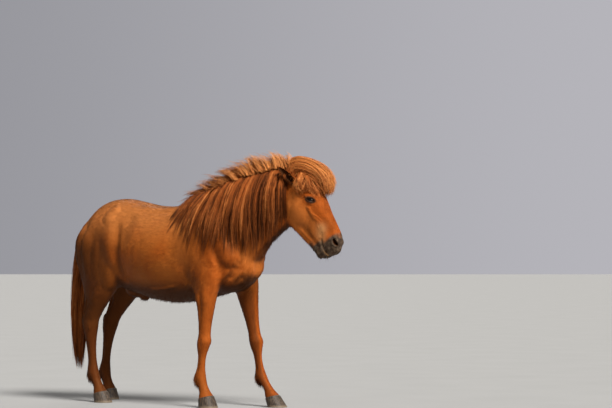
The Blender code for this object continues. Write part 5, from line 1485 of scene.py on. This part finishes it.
def coat_piece(skin, region, count, length, width, draw):
    """One region's short tufts, laid along the coat, each lifted a little."""
    places = places_of(skin)
    weight = regions_of(places)[region] * (places[:, 2] > 0.052).astype(float)
    if region == "head":
        weight *= 1 + 1.2 * ramp(head_frame(places)[0], 0.02, 0.22)
    spots, normals = scattered(skin, weight, count, draw)
    ways = lie_of_coat(spots, normals)
    ways = unit(ways + np.cross(normals, ways) * draw.normal(0, 0.20, count)[:, None], 0)
    marks = markings(spots, normals)
    small = 1 - 0.45 * (ramp(head_frame(spots)[0], 0.16, 0.26) * face_share(spots))
    own = length * (0.7 + 0.6 * draw.random(count)) * small
    if region == "legs":
        own = own * (0.55 + 0.6 * ramp(spots[:, 2], 0.25, 0.60))
    lifts = np.radians(1.5 + 3.5 * draw.random(count))
    # the tone carries the painted light on the cheek and the breast, and a random spread
    tint = np.clip(0.5 + painted_lightening(spots) + draw.normal(0, 0.10, count), 0, 1)
    keep = spots[:, 2] >= 0.075
    for side in (RIGHT, LEFT):
        flat = spots - np.array(eye_centre(side))
        lids, across, outward = arrays(eye_axes(side))
        long, tall = (half + 0.003 for half in EYE_OPENING)
        apart = np.sqrt(((flat @ lids) / long) ** 2 + ((flat @ across) / tall) ** 2)
        keep &= ~((apart < 1.0) & (flat @ outward > 0))
        nostril = spots - np.array(head_point(0.302, 0.012, side * 0.05))
        keep &= np.linalg.norm(nostril, axis=1) > 0.015
    return short_tufts(
        f"coat_{region}", spots[keep], normals[keep], ways[keep], own[keep],
        width * small[keep] * (0.7 + 0.6 * draw.random(keep.sum())), lifts[keep],
        np.concatenate([marks, tint[:, None]], axis=1)[keep], unwrapped(spots[keep], region),
    )


def fringe_piece(skin, draw):
    """Longer tufts where the coat breaks the form: chin, jaw, throat, belly, elbows, ears and fetlocks."""
    places, normals = places_of(skin), normals_of(skin)
    x, _, z = places.T
    below = -normals[:, 2]
    fetlock, heel, ears = (np.zeros(len(places)) for _ in range(3))
    for pair, side in STRIDE:
        back = np.array(leg_place(pair, side, -0.045, 0, 0.185))
        fetlock = np.maximum(fetlock, near(places, [back, back + (0.010, 0, -0.05)], 0.024))
        ring = np.array(leg_place(pair, side, 0, 0, 0.075))
        on_rim = np.abs(z - 0.072 - HOOF_SLOPE * (x - ring[0])) < 0.012
        heel = np.maximum(heel, (np.linalg.norm((places - ring)[:, :2], axis=1) < 0.09) * on_rim)
    for side in (RIGHT, LEFT):
        share, off = along_ear(places, side)
        inside = (np.linalg.norm(off, axis=1) < 0.034) & (share > 0.0) & (share < 1.04)
        ears = np.maximum(ears, inside * ramp(off @ np.array(ear_frame(side)[3]), -0.010, 0.008))
    # Length of the hair, where it grows, and how many tufts
    kinds = (
        (0.012, near(places, head_path(((0.27, -0.125, 0), (0.33, -0.12, 0))), 0.040), 500),  # chin
        (0.014, ramp(-normals @ FRONT, 0.45, 0.85) * near(
            places, head_path(((0.02, -0.215, 0), (0.12, -0.19, 0), (0.24, -0.15, 0))), 0.045), 400),  # jaw
        (0.022, (1 - face_share(places)) * ramp(below, 0.0, 0.6) * near(
            places, [(1.00, 0.045, 1.17), (0.88, 0.035, 1.07), (0.78, 0.010, 0.99)], 0.060), 700),  # throat
        (0.024, ramp(below, 0.75, 0.95) * (z > 0.62) * (x < 0.45) * (x > -0.45), 1100),  # belly
        (0.026, sum(near(places, [(0.36, side * 0.17, 0.79)], 0.06) for side in SIDE_NAME), 400),  # elbows
        (0.038, fetlock, 2100), (0.020, heel, 1300), (0.016, ears, 1200),
    )
    share = np.linspace(0, 1, 5)[None, :, None]
    parts = []
    for length, weight, count in kinds:
        spots, out = scattered(skin, weight, count, draw)
        ways = lie_of_coat(spots, out)
        ways = ways + np.cross(out, ways) * draw.normal(0, 0.25, count)[:, None]
        own = length * (0.6 + 0.7 * draw.random(count))
        hanging = weight is fetlock or weight is heel
        lift = ((0.05 if hanging else 0.20) + 0.22 * draw.random(count))[:, None, None]
        path = spots[:, None, :] - out[:, None, :] * 0.002 + own[:, None, None] * (
            ways[:, None, :] * share + out[:, None, :] * lift * share
            + np.array((0, 0, -0.28)) * share ** 2
        )
        tone = np.clip(0.5 + draw.normal(0, 0.17, count), 0, 1)
        own_marks = np.concatenate([markings(spots, out), tone[:, None]], axis=1)
        flat = np.stack([(spots[:, 0] + 0.8) / 2.2, round_share(spots[:, 1], 1.0 - spots[:, 2])], axis=1)
        parts.append((
            path, np.repeat(out[:, None, :], 5, axis=1), tapered(count, 5, 0.0024, draw),
            np.repeat(own_marks[:, None, :], 5, axis=1), np.clip(flat, 0.002, 0.994),
        ))
    paths, ups, widths, marks, baked = (np.concatenate(part) for part in zip(*parts))
    return strands("coat_fringe", paths, ups, widths, widths * 0.6, marks, baked)


def skin_under_coat(body):
    """One skin for all the flesh, as deep under the ends of the hair as the coat is there."""
    set_places(body, places_of(body) - normals_of(body) * coat_depth(places_of(body))[:, None])
    on_face = face_share(places_of(body)) > 0.02
    thinned(body, ~on_face, int(2 * on_face.sum()) + TRUNK_TRIANGLES)
    for side in (RIGHT, LEFT):
        boolean(body, ear_form(side), "UNION")
    cut_face(body)
    for block in hoof_blocks():
        boolean(body, block, "DIFFERENCE")
    body.name = "skin"
    return body


def hoof_form(pair, side):
    """A hoof's wall from the coronet to the ground, a little flared, with a rounded edge."""
    rows = LEG_ROWS[pair][::-1]
    start = leg_place(pair, side, 0, 0, CORONET)[0]
    rings = []
    for drop, shrink, lift in HOOF_WALL:
        ring = []
        for i in range(48):
            turn = 2 * math.pi * i / 48
            z = CORONET * (1 - drop)
            for _ in range(3):  # the height and the section at that height settle together
                front, back, half = (read_off(rows, z, column) for column in (2, 3, 4))
                x, y, _ = leg_place(pair, side, 0, 0, z)
                reach = front if math.cos(turn) > 0 else back
                place = Vector((x + reach * math.cos(turn) * shrink, y + half * math.sin(turn) * shrink, 0))
                z = max(0.0, (CORONET + HOOF_SLOPE * (place.x - start)) * (1 - drop)) + lift
            place.z = z
            ring.append(place)
        rings.append(ring)
    made = loft(f"hoof_{pair}_{SIDE_NAME[side]}_horn", rings)
    made.data.shade_smooth()
    return made


def eyeball(side):
    """An eye, with each point's place along, across and out of the lids for its paint."""
    made = ball_at_eye(f"eye_{SIDE_NAME[side]}_glass", side, EYE_RADIUS, 56, 36)
    flat = (places_of(made) - np.array(eye_centre(side))) / EYE_RADIUS
    at = np.stack([flat @ way for way in arrays(eye_axes(side))], axis=1).astype(np.float32)
    made.data.attributes.new("eye_at", "FLOAT_VECTOR", "POINT").data.foreach_set("vector", at.ravel())
    made.data.shade_smooth()
    return made


def lid_rim(side, count=64, wide=12):
    """The edge of both lids: a soft dark roll round the opening, heavier above."""
    rings = []
    centre = eye_centre(side)
    for i in range(count):
        turn = 2 * math.pi * i / count
        above = max(0.0, math.sin(turn))
        flat = lid_point(side, turn, 0.0, LID_EDGE) - centre
        depth = math.sqrt(max(1e-6, EYE_RADIUS ** 2 - flat.length_squared))
        middle = lid_point(side, turn, depth + 0.0016 + 0.0010 * above, LID_EDGE)
        away = (middle - centre).normalized()
        radial = (lid_point(side, turn, 0, 0.01) - lid_point(side, turn, 0, 0)).normalized()
        radial = (radial - away * radial.dot(away)).normalized()
        thick = 0.0026 + 0.0012 * above
        ring = []
        for k in range(wide):
            bend = 2 * math.pi * k / wide
            ring.append(middle + radial * (thick * 1.2 * math.cos(bend)) + away * (thick * math.sin(bend)))
        rings.append(ring)
    faces = []
    for j in range(count):
        for k in range(wide):
            m, n = (j + 1) % count, (k + 1) % wide
            faces.append((j * wide + k, j * wide + n, m * wide + n, m * wide + k))
    made = solid_from(f"lids_{SIDE_NAME[side]}", [point for ring in rings for point in ring], faces)
    made.data.shade_smooth()
    return made


def fine_hairs(draw):
    """Eyelashes, and the feelers of the muzzle and chin, as one piece."""
    paths, ups = [], []
    share = np.linspace(0, 1, 6)[:, None]
    for side in (RIGHT, LEFT):
        lids, across, outward = arrays(eye_axes(side))
        for _ in range(70):
            turn = math.pi * (0.08 + 0.84 * draw.random())
            root = np.array(lid_point(side, turn, 0.0, LID_EDGE))
            flat = root - np.array(eye_centre(side))
            root = root + outward * (math.sqrt(max(1e-6, EYE_RADIUS ** 2 - flat @ flat)) + 0.0035)
            way = outward * 0.9 + across * 0.25 + lids * (0.5 * math.cos(turn)) + draw.normal(0, 0.08, 3)
            way = unit(way, 0)
            length = 0.011 * (0.7 + 0.5 * draw.random())
            paths.append(root - way * 0.001 + way * length * share - across * (length * 0.45) * share ** 2)
            ups.append(np.tile(outward, (6, 1)))
    for side in (RIGHT, LEFT):
        for _ in range(46):
            down = 0.255 + 0.095 * draw.random()
            front = -0.115 + 0.12 * draw.random()
            root = np.array(head_point(down, front, side * 0.030))
            way = unit(ASIDE * side * 0.75 + DOWN * 0.45 - FRONT * 0.25 + draw.normal(0, 0.15, 3), 0)
            length = 0.045 * (0.5 + 0.7 * draw.random())
            paths.append(root + way * length * share + np.array((0, 0, -0.3)) * length * share ** 2)
            ups.append(np.tile(FRONT, (6, 1)))
    count = len(paths)
    widths = np.repeat(0.0009 * (1 - 0.8 * share.T), count, axis=0)
    marks = np.zeros((count, 6, 4))
    marks[:, :, 2], marks[:, :, 3] = 0.85, 0.15
    baked = np.stack([np.linspace(0.02, 0.98, count), np.linspace(0.1, 0.9, count)], axis=1)
    return strands("lashes_and_feelers", np.array(paths), np.array(ups), widths, widths, marks, baked)


def colour(red, green, blue):
    """A colour as the eye reads it, from 0 to 255, turned into light."""
    light = []
    for part in (red / 255, green / 255, blue / 255):
        light.append(part / 12.92 if part <= 0.04045 else ((part + 0.055) / 1.055) ** 2.4)
    return (*light, 1.0)


def add_node(tree, kind, inputs=None, **settings):
    """Adds a node, sets its settings, and gives its inputs values or links."""
    node = tree.nodes.new(kind)
    for name, value in settings.items():
        setattr(node, name, value)
    for name, value in (inputs or {}).items():
        if isinstance(value, bpy.types.NodeSocket):
            tree.links.new(value, node.inputs[name])
        else:
            node.inputs[name].default_value = value
    return node


def mixed(tree, share, first, second):
    """The colour between two, by a share that varies over the surface."""
    return add_node(tree, "ShaderNodeMix", {0: share, 6: first, 7: second}, data_type="RGBA").outputs[2]


def spread_of(tree, value, low, high, to_low=0.0, to_high=1.0):
    """The value spread smoothly from one range over another."""
    node = add_node(tree, "ShaderNodeMapRange", {
        "Value": value, "From Min": low, "From Max": high, "To Min": to_low, "To Max": to_high
    }, interpolation_type="SMOOTHSTEP")
    return node.outputs["Result"]


def maths(tree, operation, first, second):
    return add_node(tree, "ShaderNodeMath", {0: first, 1: second}, operation=operation).outputs[0]


def plus(tree, first, second):
    return maths(tree, "ADD", first, second)


def times(tree, first, second):
    return maths(tree, "MULTIPLY", first, second)


def noise(tree, place, scale, detail):
    node = add_node(tree, "ShaderNodeTexNoise", {"Vector": place, "Scale": scale, "Detail": detail})
    return node.outputs["Fac"]


def chestnut_group():
    """The chestnut coat's colour, shared by the skin, the short coat and the long hair."""
    tree = bpy.data.node_groups.new("chestnut coat", "ShaderNodeTree")
    taken = {
        "Marks": "Color", "Tone": "Float", "Place": "Vector", "Dark": "Color", "Middle": "Color",
        "Light": "Color", "Golden": "Float",
    }
    for name, kind in taken.items():
        tree.interface.new_socket(name, in_out="INPUT", socket_type=f"NodeSocket{kind}")
    for name, kind in (("Colour", "Color"), ("Roughness", "Float")):
        tree.interface.new_socket(name, in_out="OUTPUT", socket_type=f"NodeSocket{kind}")
    start = add_node(tree, "NodeGroupInput")
    end = add_node(tree, "NodeGroupOutput")
    given = {name: start.outputs[name] for name in taken}
    broad = noise(tree, given["Place"], 7.0, 3.0)
    fine = noise(tree, given["Place"], 38.0, 2.0)
    mottle = plus(tree, times(tree, broad, 0.65), times(tree, fine, 0.35))
    own = times(tree, given["Tone"], 0.80)
    tone = plus(tree, own, times(tree, spread_of(tree, mottle, 0.30, 0.70), 0.20))
    low = mixed(tree, spread_of(tree, tone, 0.10, 0.52), given["Dark"], given["Middle"])
    hair = mixed(tree, spread_of(tree, tone, 0.50, 0.95), low, given["Light"])
    # The barrel's golden hair, and a painted highlight along the top of the back, where the light from above
    # falls
    axes = add_node(tree, "ShaderNodeSeparateXYZ", {"Vector": given["Place"]})
    barrel = spread_of(tree, axes.outputs["X"], 0.36, 0.02)
    golden = times(tree, times(tree, barrel, given["Golden"]), spread_of(tree, broad, 0.30, 0.62, 0.35, 1.0))
    hair = mixed(tree, times(tree, golden, 0.60), hair, colour(172, 98, 38))
    # painted highlight on the top of the back, where the light from above falls
    lit_topline = times(tree, spread_of(tree, axes.outputs["Z"], 0.98, 1.24), barrel)
    lit_topline = times(tree, lit_topline, given["Golden"])
    hair = mixed(tree, times(tree, lit_topline, 0.48), hair, colour(208, 134, 74))
    # Dark skin, sand-coloured hair with a painted highlight along the lips, and painted shade, by the three
    # marks
    marks = add_node(tree, "ShaderNodeSeparateColor", {"Color": given["Marks"]})
    skin = mixed(tree, spread_of(tree, fine, 0.35, 0.65), colour(60, 49, 42), colour(98, 82, 68))
    full = mixed(tree, marks.outputs["Red"], hair, skin)
    full = mixed(tree, marks.outputs["Green"], full, colour(206, 152, 98))
    full = mixed(tree, marks.outputs["Blue"], full, colour(48, 22, 10))
    rough = plus(tree, times(tree, fine, 0.18), times(tree, marks.outputs["Red"], -0.10))
    tree.links.new(full, end.inputs["Colour"])
    tree.links.new(plus(tree, rough, 0.46), end.inputs["Roughness"])
    return tree


def painted(name, group=None, **values):
    """A material with one Principled shader, and the chestnut group's colour where it is given."""
    paint = bpy.data.materials.new(name)
    paint.use_nodes = True
    tree = paint.node_tree
    shader = tree.nodes["Principled BSDF"]
    place = add_node(tree, "ShaderNodeTexCoord").outputs["Object"]
    if group:
        marks = add_node(tree, "ShaderNodeAttribute", attribute_name="marks")
        mixer = add_node(tree, "ShaderNodeGroup", node_tree=group)
        tree.links.new(marks.outputs["Color"], mixer.inputs["Marks"])
        tree.links.new(marks.outputs["Alpha"], mixer.inputs["Tone"])
        tree.links.new(place, mixer.inputs["Place"])
        for key in ("Dark", "Middle", "Light", "Golden"):
            mixer.inputs[key].default_value = values.pop(key)
        tree.links.new(mixer.outputs["Colour"], shader.inputs["Base Color"])
        tree.links.new(mixer.outputs["Roughness"], shader.inputs["Roughness"])
    for key, value in values.items():
        shader.inputs[key.replace("_", " ")].default_value = value
    return paint, tree, shader, place


def bumped(tree, shader, height, distance, strength=1.0):
    bump = add_node(tree, "ShaderNodeBump", {"Height": height, "Distance": distance, "Strength": strength})
    tree.links.new(bump.outputs["Normal"], shader.inputs["Normal"])


def hair_paint(name, group, dark, middle, light, golden, glance, sheen, sheen_rough):
    """A material of hair, with the light's warm sheen on it."""
    # golden weighs both the barrel's golden hair and the painted highlight on the top of the back
    return painted(
        name, group, Dark=colour(*dark), Middle=colour(*middle), Light=colour(*light), Golden=golden,
        Specular_IOR_Level=glance, Specular_Tint=colour(255, 196, 140), Sheen_Weight=sheen,
        Sheen_Roughness=sheen_rough, Sheen_Tint=colour(255, 180, 110),
    )


def skin_material(group):
    """Skin with its finest hair as bump, drawn out along the lie of the coat."""
    paint, tree, shader, place = hair_paint(
        "skin and fine hair", group, (104, 46, 14), (170, 82, 26), (206, 116, 50), 1.0, 0.22, 0.04, 0.5
    )
    turned = add_node(tree, "ShaderNodeMapping", {
        "Vector": place, "Rotation": (0, math.radians(-28), 0), "Scale": (60, 260, 260)
    })
    hair = noise(tree, turned.outputs["Vector"], 1.0, 3.0)
    wrinkle = noise(tree, place, 210.0, 3.0)
    bumped(tree, shader, plus(tree, hair, times(tree, wrinkle, 0.6)), 0.0022, 0.6)
    return paint


def coat_material(group):
    paint, tree, shader, place = hair_paint(
        "short chestnut coat", group, (104, 46, 14), (170, 82, 26), (208, 118, 52), 1.0, 0.22, 0.04, 0.5
    )
    bumped(tree, shader, noise(tree, place, 420.0, 2.0), 0.0008, 0.5)
    return paint


def long_hair_material(group):
    paint, tree, shader, place = hair_paint(
        "long orange hair", group, (80, 34, 12), (166, 83, 32), (230, 142, 72), 0.0, 0.30, 0.03, 0.4
    )
    bumped(tree, shader, noise(tree, place, 300.0, 2.0), 0.0006, 0.4)
    return paint


def lid_material():
    paint, tree, shader, place = painted("dark lids", Specular_IOR_Level=0.45)
    crease = noise(tree, place, 320.0, 4.0)
    skin = mixed(tree, spread_of(tree, crease, 0.35, 0.65), colour(26, 17, 14), colour(62, 40, 30))
    tree.links.new(skin, shader.inputs["Base Color"])
    tree.links.new(spread_of(tree, crease, 0.3, 0.7, 0.30, 0.50), shader.inputs["Roughness"])
    bumped(tree, shader, crease, 0.0010, 0.6)
    return paint


def eye_material():
    """A dark brown iris round a level pupil, under a wet surface."""
    paint, tree, shader, _ = painted(
        "wet dark eye", Roughness=0.2, Coat_Weight=0.45, Coat_Roughness=0.02, IOR=1.36, Specular_IOR_Level=0.2
    )
    at = add_node(tree, "ShaderNodeAttribute", attribute_name="eye_at").outputs["Vector"]
    axes = add_node(tree, "ShaderNodeSeparateXYZ", {"Vector": at})
    wide = times(tree, axes.outputs["X"], axes.outputs["X"])
    tall = times(tree, axes.outputs["Y"], axes.outputs["Y"])
    ring = maths(tree, "SQRT", plus(tree, wide, tall), 0.0)
    pupil = maths(tree, "SQRT", plus(tree, times(tree, wide, 4.2), times(tree, tall, 15.0)), 0.0)
    fibre = noise(tree, at, 26.0, 4.0)
    iris = mixed(tree, spread_of(tree, fibre, 0.35, 0.65), colour(30, 16, 9), colour(74, 40, 19))
    iris = mixed(tree, spread_of(tree, ring, 0.56, 0.74), iris, colour(22, 14, 12))
    iris = mixed(tree, spread_of(tree, ring, 0.84, 0.92), iris, colour(96, 70, 56))
    inner = mixed(tree, spread_of(tree, pupil, 1.15, 0.92), iris, colour(7, 7, 9))
    tree.links.new(inner, shader.inputs["Base Color"])
    return paint


def horn_material():
    """Dark horn with rings of growth, fine upright lines and a dusty edge."""
    paint, tree, shader, place = painted("dark hoof horn", Specular_IOR_Level=0.35)
    lines = add_node(tree, "ShaderNodeMapping", {"Vector": place, "Scale": (150, 150, 9)})
    upright = noise(tree, lines.outputs["Vector"], 1.0, 3.0)
    growth = add_node(tree, "ShaderNodeTexWave", {
        "Vector": place, "Scale": 42.0, "Distortion": 1.6, "Detail": 1.0
    }, bands_direction="Z").outputs["Fac"]
    base = mixed(tree, spread_of(tree, upright, 0.35, 0.65), colour(38, 31, 27), colour(84, 70, 58))
    base = mixed(tree, times(tree, growth, 0.16), base, colour(112, 94, 76))
    axes = add_node(tree, "ShaderNodeSeparateXYZ", {"Vector": place})
    dusty = mixed(tree, spread_of(tree, axes.outputs["Z"], 0.020, 0.0, 0.0, 0.6), base, colour(150, 132, 108))
    tree.links.new(dusty, shader.inputs["Base Color"])
    tree.links.new(spread_of(tree, upright, 0.3, 0.7, 0.42, 0.66), shader.inputs["Roughness"])
    height = plus(tree, times(tree, growth, 1.0), times(tree, upright, 0.5))
    bumped(tree, shader, height, 0.0012, 0.7)
    return paint


def studio():
    """A plain pale floor under soft light from above and ahead, with a grey-blue surround."""
    bpy.ops.mesh.primitive_circle_add(vertices=96, radius=400.0, fill_type="NGON", location=(0, 0, 0))
    floor = bpy.context.object
    floor.name = "floor"
    paint, tree, shader, place = painted("pale floor", Roughness=0.9, Specular_IOR_Level=0.2)
    pale = mixed(tree, noise(tree, place, 2.0, 4.0), colour(158, 158, 158), colour(166, 166, 166))
    tree.links.new(pale, shader.inputs["Base Color"])
    floor.data.materials.append(paint)
    for name, from_way, wide, power, tint in (
        ("key", (0.72, -0.27, 0.74), 22, 5.3, (1.0, 0.97, 0.92)),
        ("back", (-0.40, 0.66, 0.64), 40, 0.6, (1.0, 0.99, 0.97)),
    ):
        lamp = bpy.data.lights.new(name, "SUN")
        lamp.angle = math.radians(wide)
        lamp.energy = power
        lamp.color = tint
        thing = bpy.data.objects.new(name, lamp)
        thing.location = Vector(from_way) * 6
        thing.rotation_euler = Vector(from_way).to_track_quat("Z", "Y").to_euler()
        bpy.context.scene.collection.objects.link(thing)
    world = bpy.data.worlds.new("surround")
    bpy.context.scene.world = world
    world.use_nodes = True
    tree = world.node_tree
    seen = tree.nodes["Background"]
    way = add_node(tree, "ShaderNodeTexCoord").outputs["Generated"]
    rightward = add_node(
        tree, "ShaderNodeVectorMath", {0: way, 1: (0.766, 0.643, 0.0)}, operation="DOT_PRODUCT"
    ).outputs["Value"]
    grey = mixed(tree, spread_of(tree, rightward, -0.16, 0.24), colour(148, 148, 154), colour(182, 181, 187))
    tree.links.new(grey, seen.inputs["Color"])
    lit = add_node(tree, "ShaderNodeBackground", {"Color": (1.0, 0.985, 0.96, 1.0), "Strength": 0.21})
    ray = add_node(tree, "ShaderNodeLightPath")
    both = add_node(tree, "ShaderNodeMixShader")
    tree.links.new(ray.outputs["Is Camera Ray"], both.inputs["Fac"])
    tree.links.new(lit.outputs["Background"], both.inputs[1])
    tree.links.new(seen.outputs["Background"], both.inputs[2])
    tree.links.new(both.outputs["Shader"], tree.nodes["World Output"].inputs["Surface"])


def photo_camera():
    """The camera where the photographer stood, off the horse's right shoulder."""
    distance, turn, height = 14, 40, 0.9  # metres, degrees off the horse's right side, metres
    lens = bpy.data.cameras.new("camera")
    lens.sensor_width = 36.0
    lens.lens = 126.8
    lens.clip_end = 200.0
    thing = bpy.data.objects.new("camera", lens)
    angle = math.radians(turn)
    thing.location = (distance * math.sin(angle) - CENTRE.x, -distance * math.cos(angle), height)
    thing.rotation_euler = (math.radians(90 + 1.61), 0, math.radians(turn - 3.609))
    bpy.context.scene.collection.objects.link(thing)
    bpy.context.scene.camera = thing


def main():
    """Builds every piece, gives each its material, and sets the studio up."""
    chance = random.Random(SEED)
    draw = np.random.default_rng(SEED)
    body = make_body()
    outside = surface_of(body)
    skin = skin_under_coat(body)
    skin.data.shade_smooth()
    places, normals = places_of(skin), normals_of(skin)
    marks = markings(places, normals)
    # the tone carries the painted light on the cheek and the breast
    tone = 0.5 + painted_lightening(places)[:, None]
    coloured(skin, "marks", np.concatenate([marks, tone], axis=1))

    group = chestnut_group()
    on_skin, on_coat, on_hair = skin_material(group), coat_material(group), long_hair_material(group)
    parts_of_flesh = ("torso", "neck", "head", "ear_", "foreleg", "hindleg")
    flesh = [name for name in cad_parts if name.startswith(parts_of_flesh)]
    pieces = [
        (coat_piece(skin, region, count, length, width, draw), on_coat, (), "coat")
        for region, count, length, width in COATS
    ]
    pieces += [
        (fringe_piece(skin, draw), on_coat, (), "coat"),
        (near_mane(outside, chance, draw), on_hair, ("mane_right",), "hair"),
        (far_mane(outside, chance, draw), on_hair, ("mane_left",), "hair"),
        (blown_mane(outside, chance, draw), on_hair, ("mane_left",), "hair"),
        (forelock(outside, chance, draw), on_hair, ("forelock",), "hair"),
        (tail(chance, draw), on_hair, ("tail",), "hair"),
        (fine_hairs(draw), on_hair, (), "hair"),
    ]
    horn, glass, lids = horn_material(), eye_material(), lid_material()
    for pair, side in STRIDE:
        pieces.append((hoof_form(pair, side), horn, (f"hoof_{pair}_{SIDE_NAME[side]}",), "horn"))
    for side in (RIGHT, LEFT):
        pieces.append((eyeball(side), glass, (f"eye_{SIDE_NAME[side]}",), "eye"))
        pieces.append((lid_rim(side), lids, (), "coat"))
    pieces.append((skin, on_skin, flesh, "coat"))
    for piece in pieces:
        settled(*piece)
    studio()
    photo_camera()


main()
bpy.context.scene.view_settings.view_transform = "Standard"
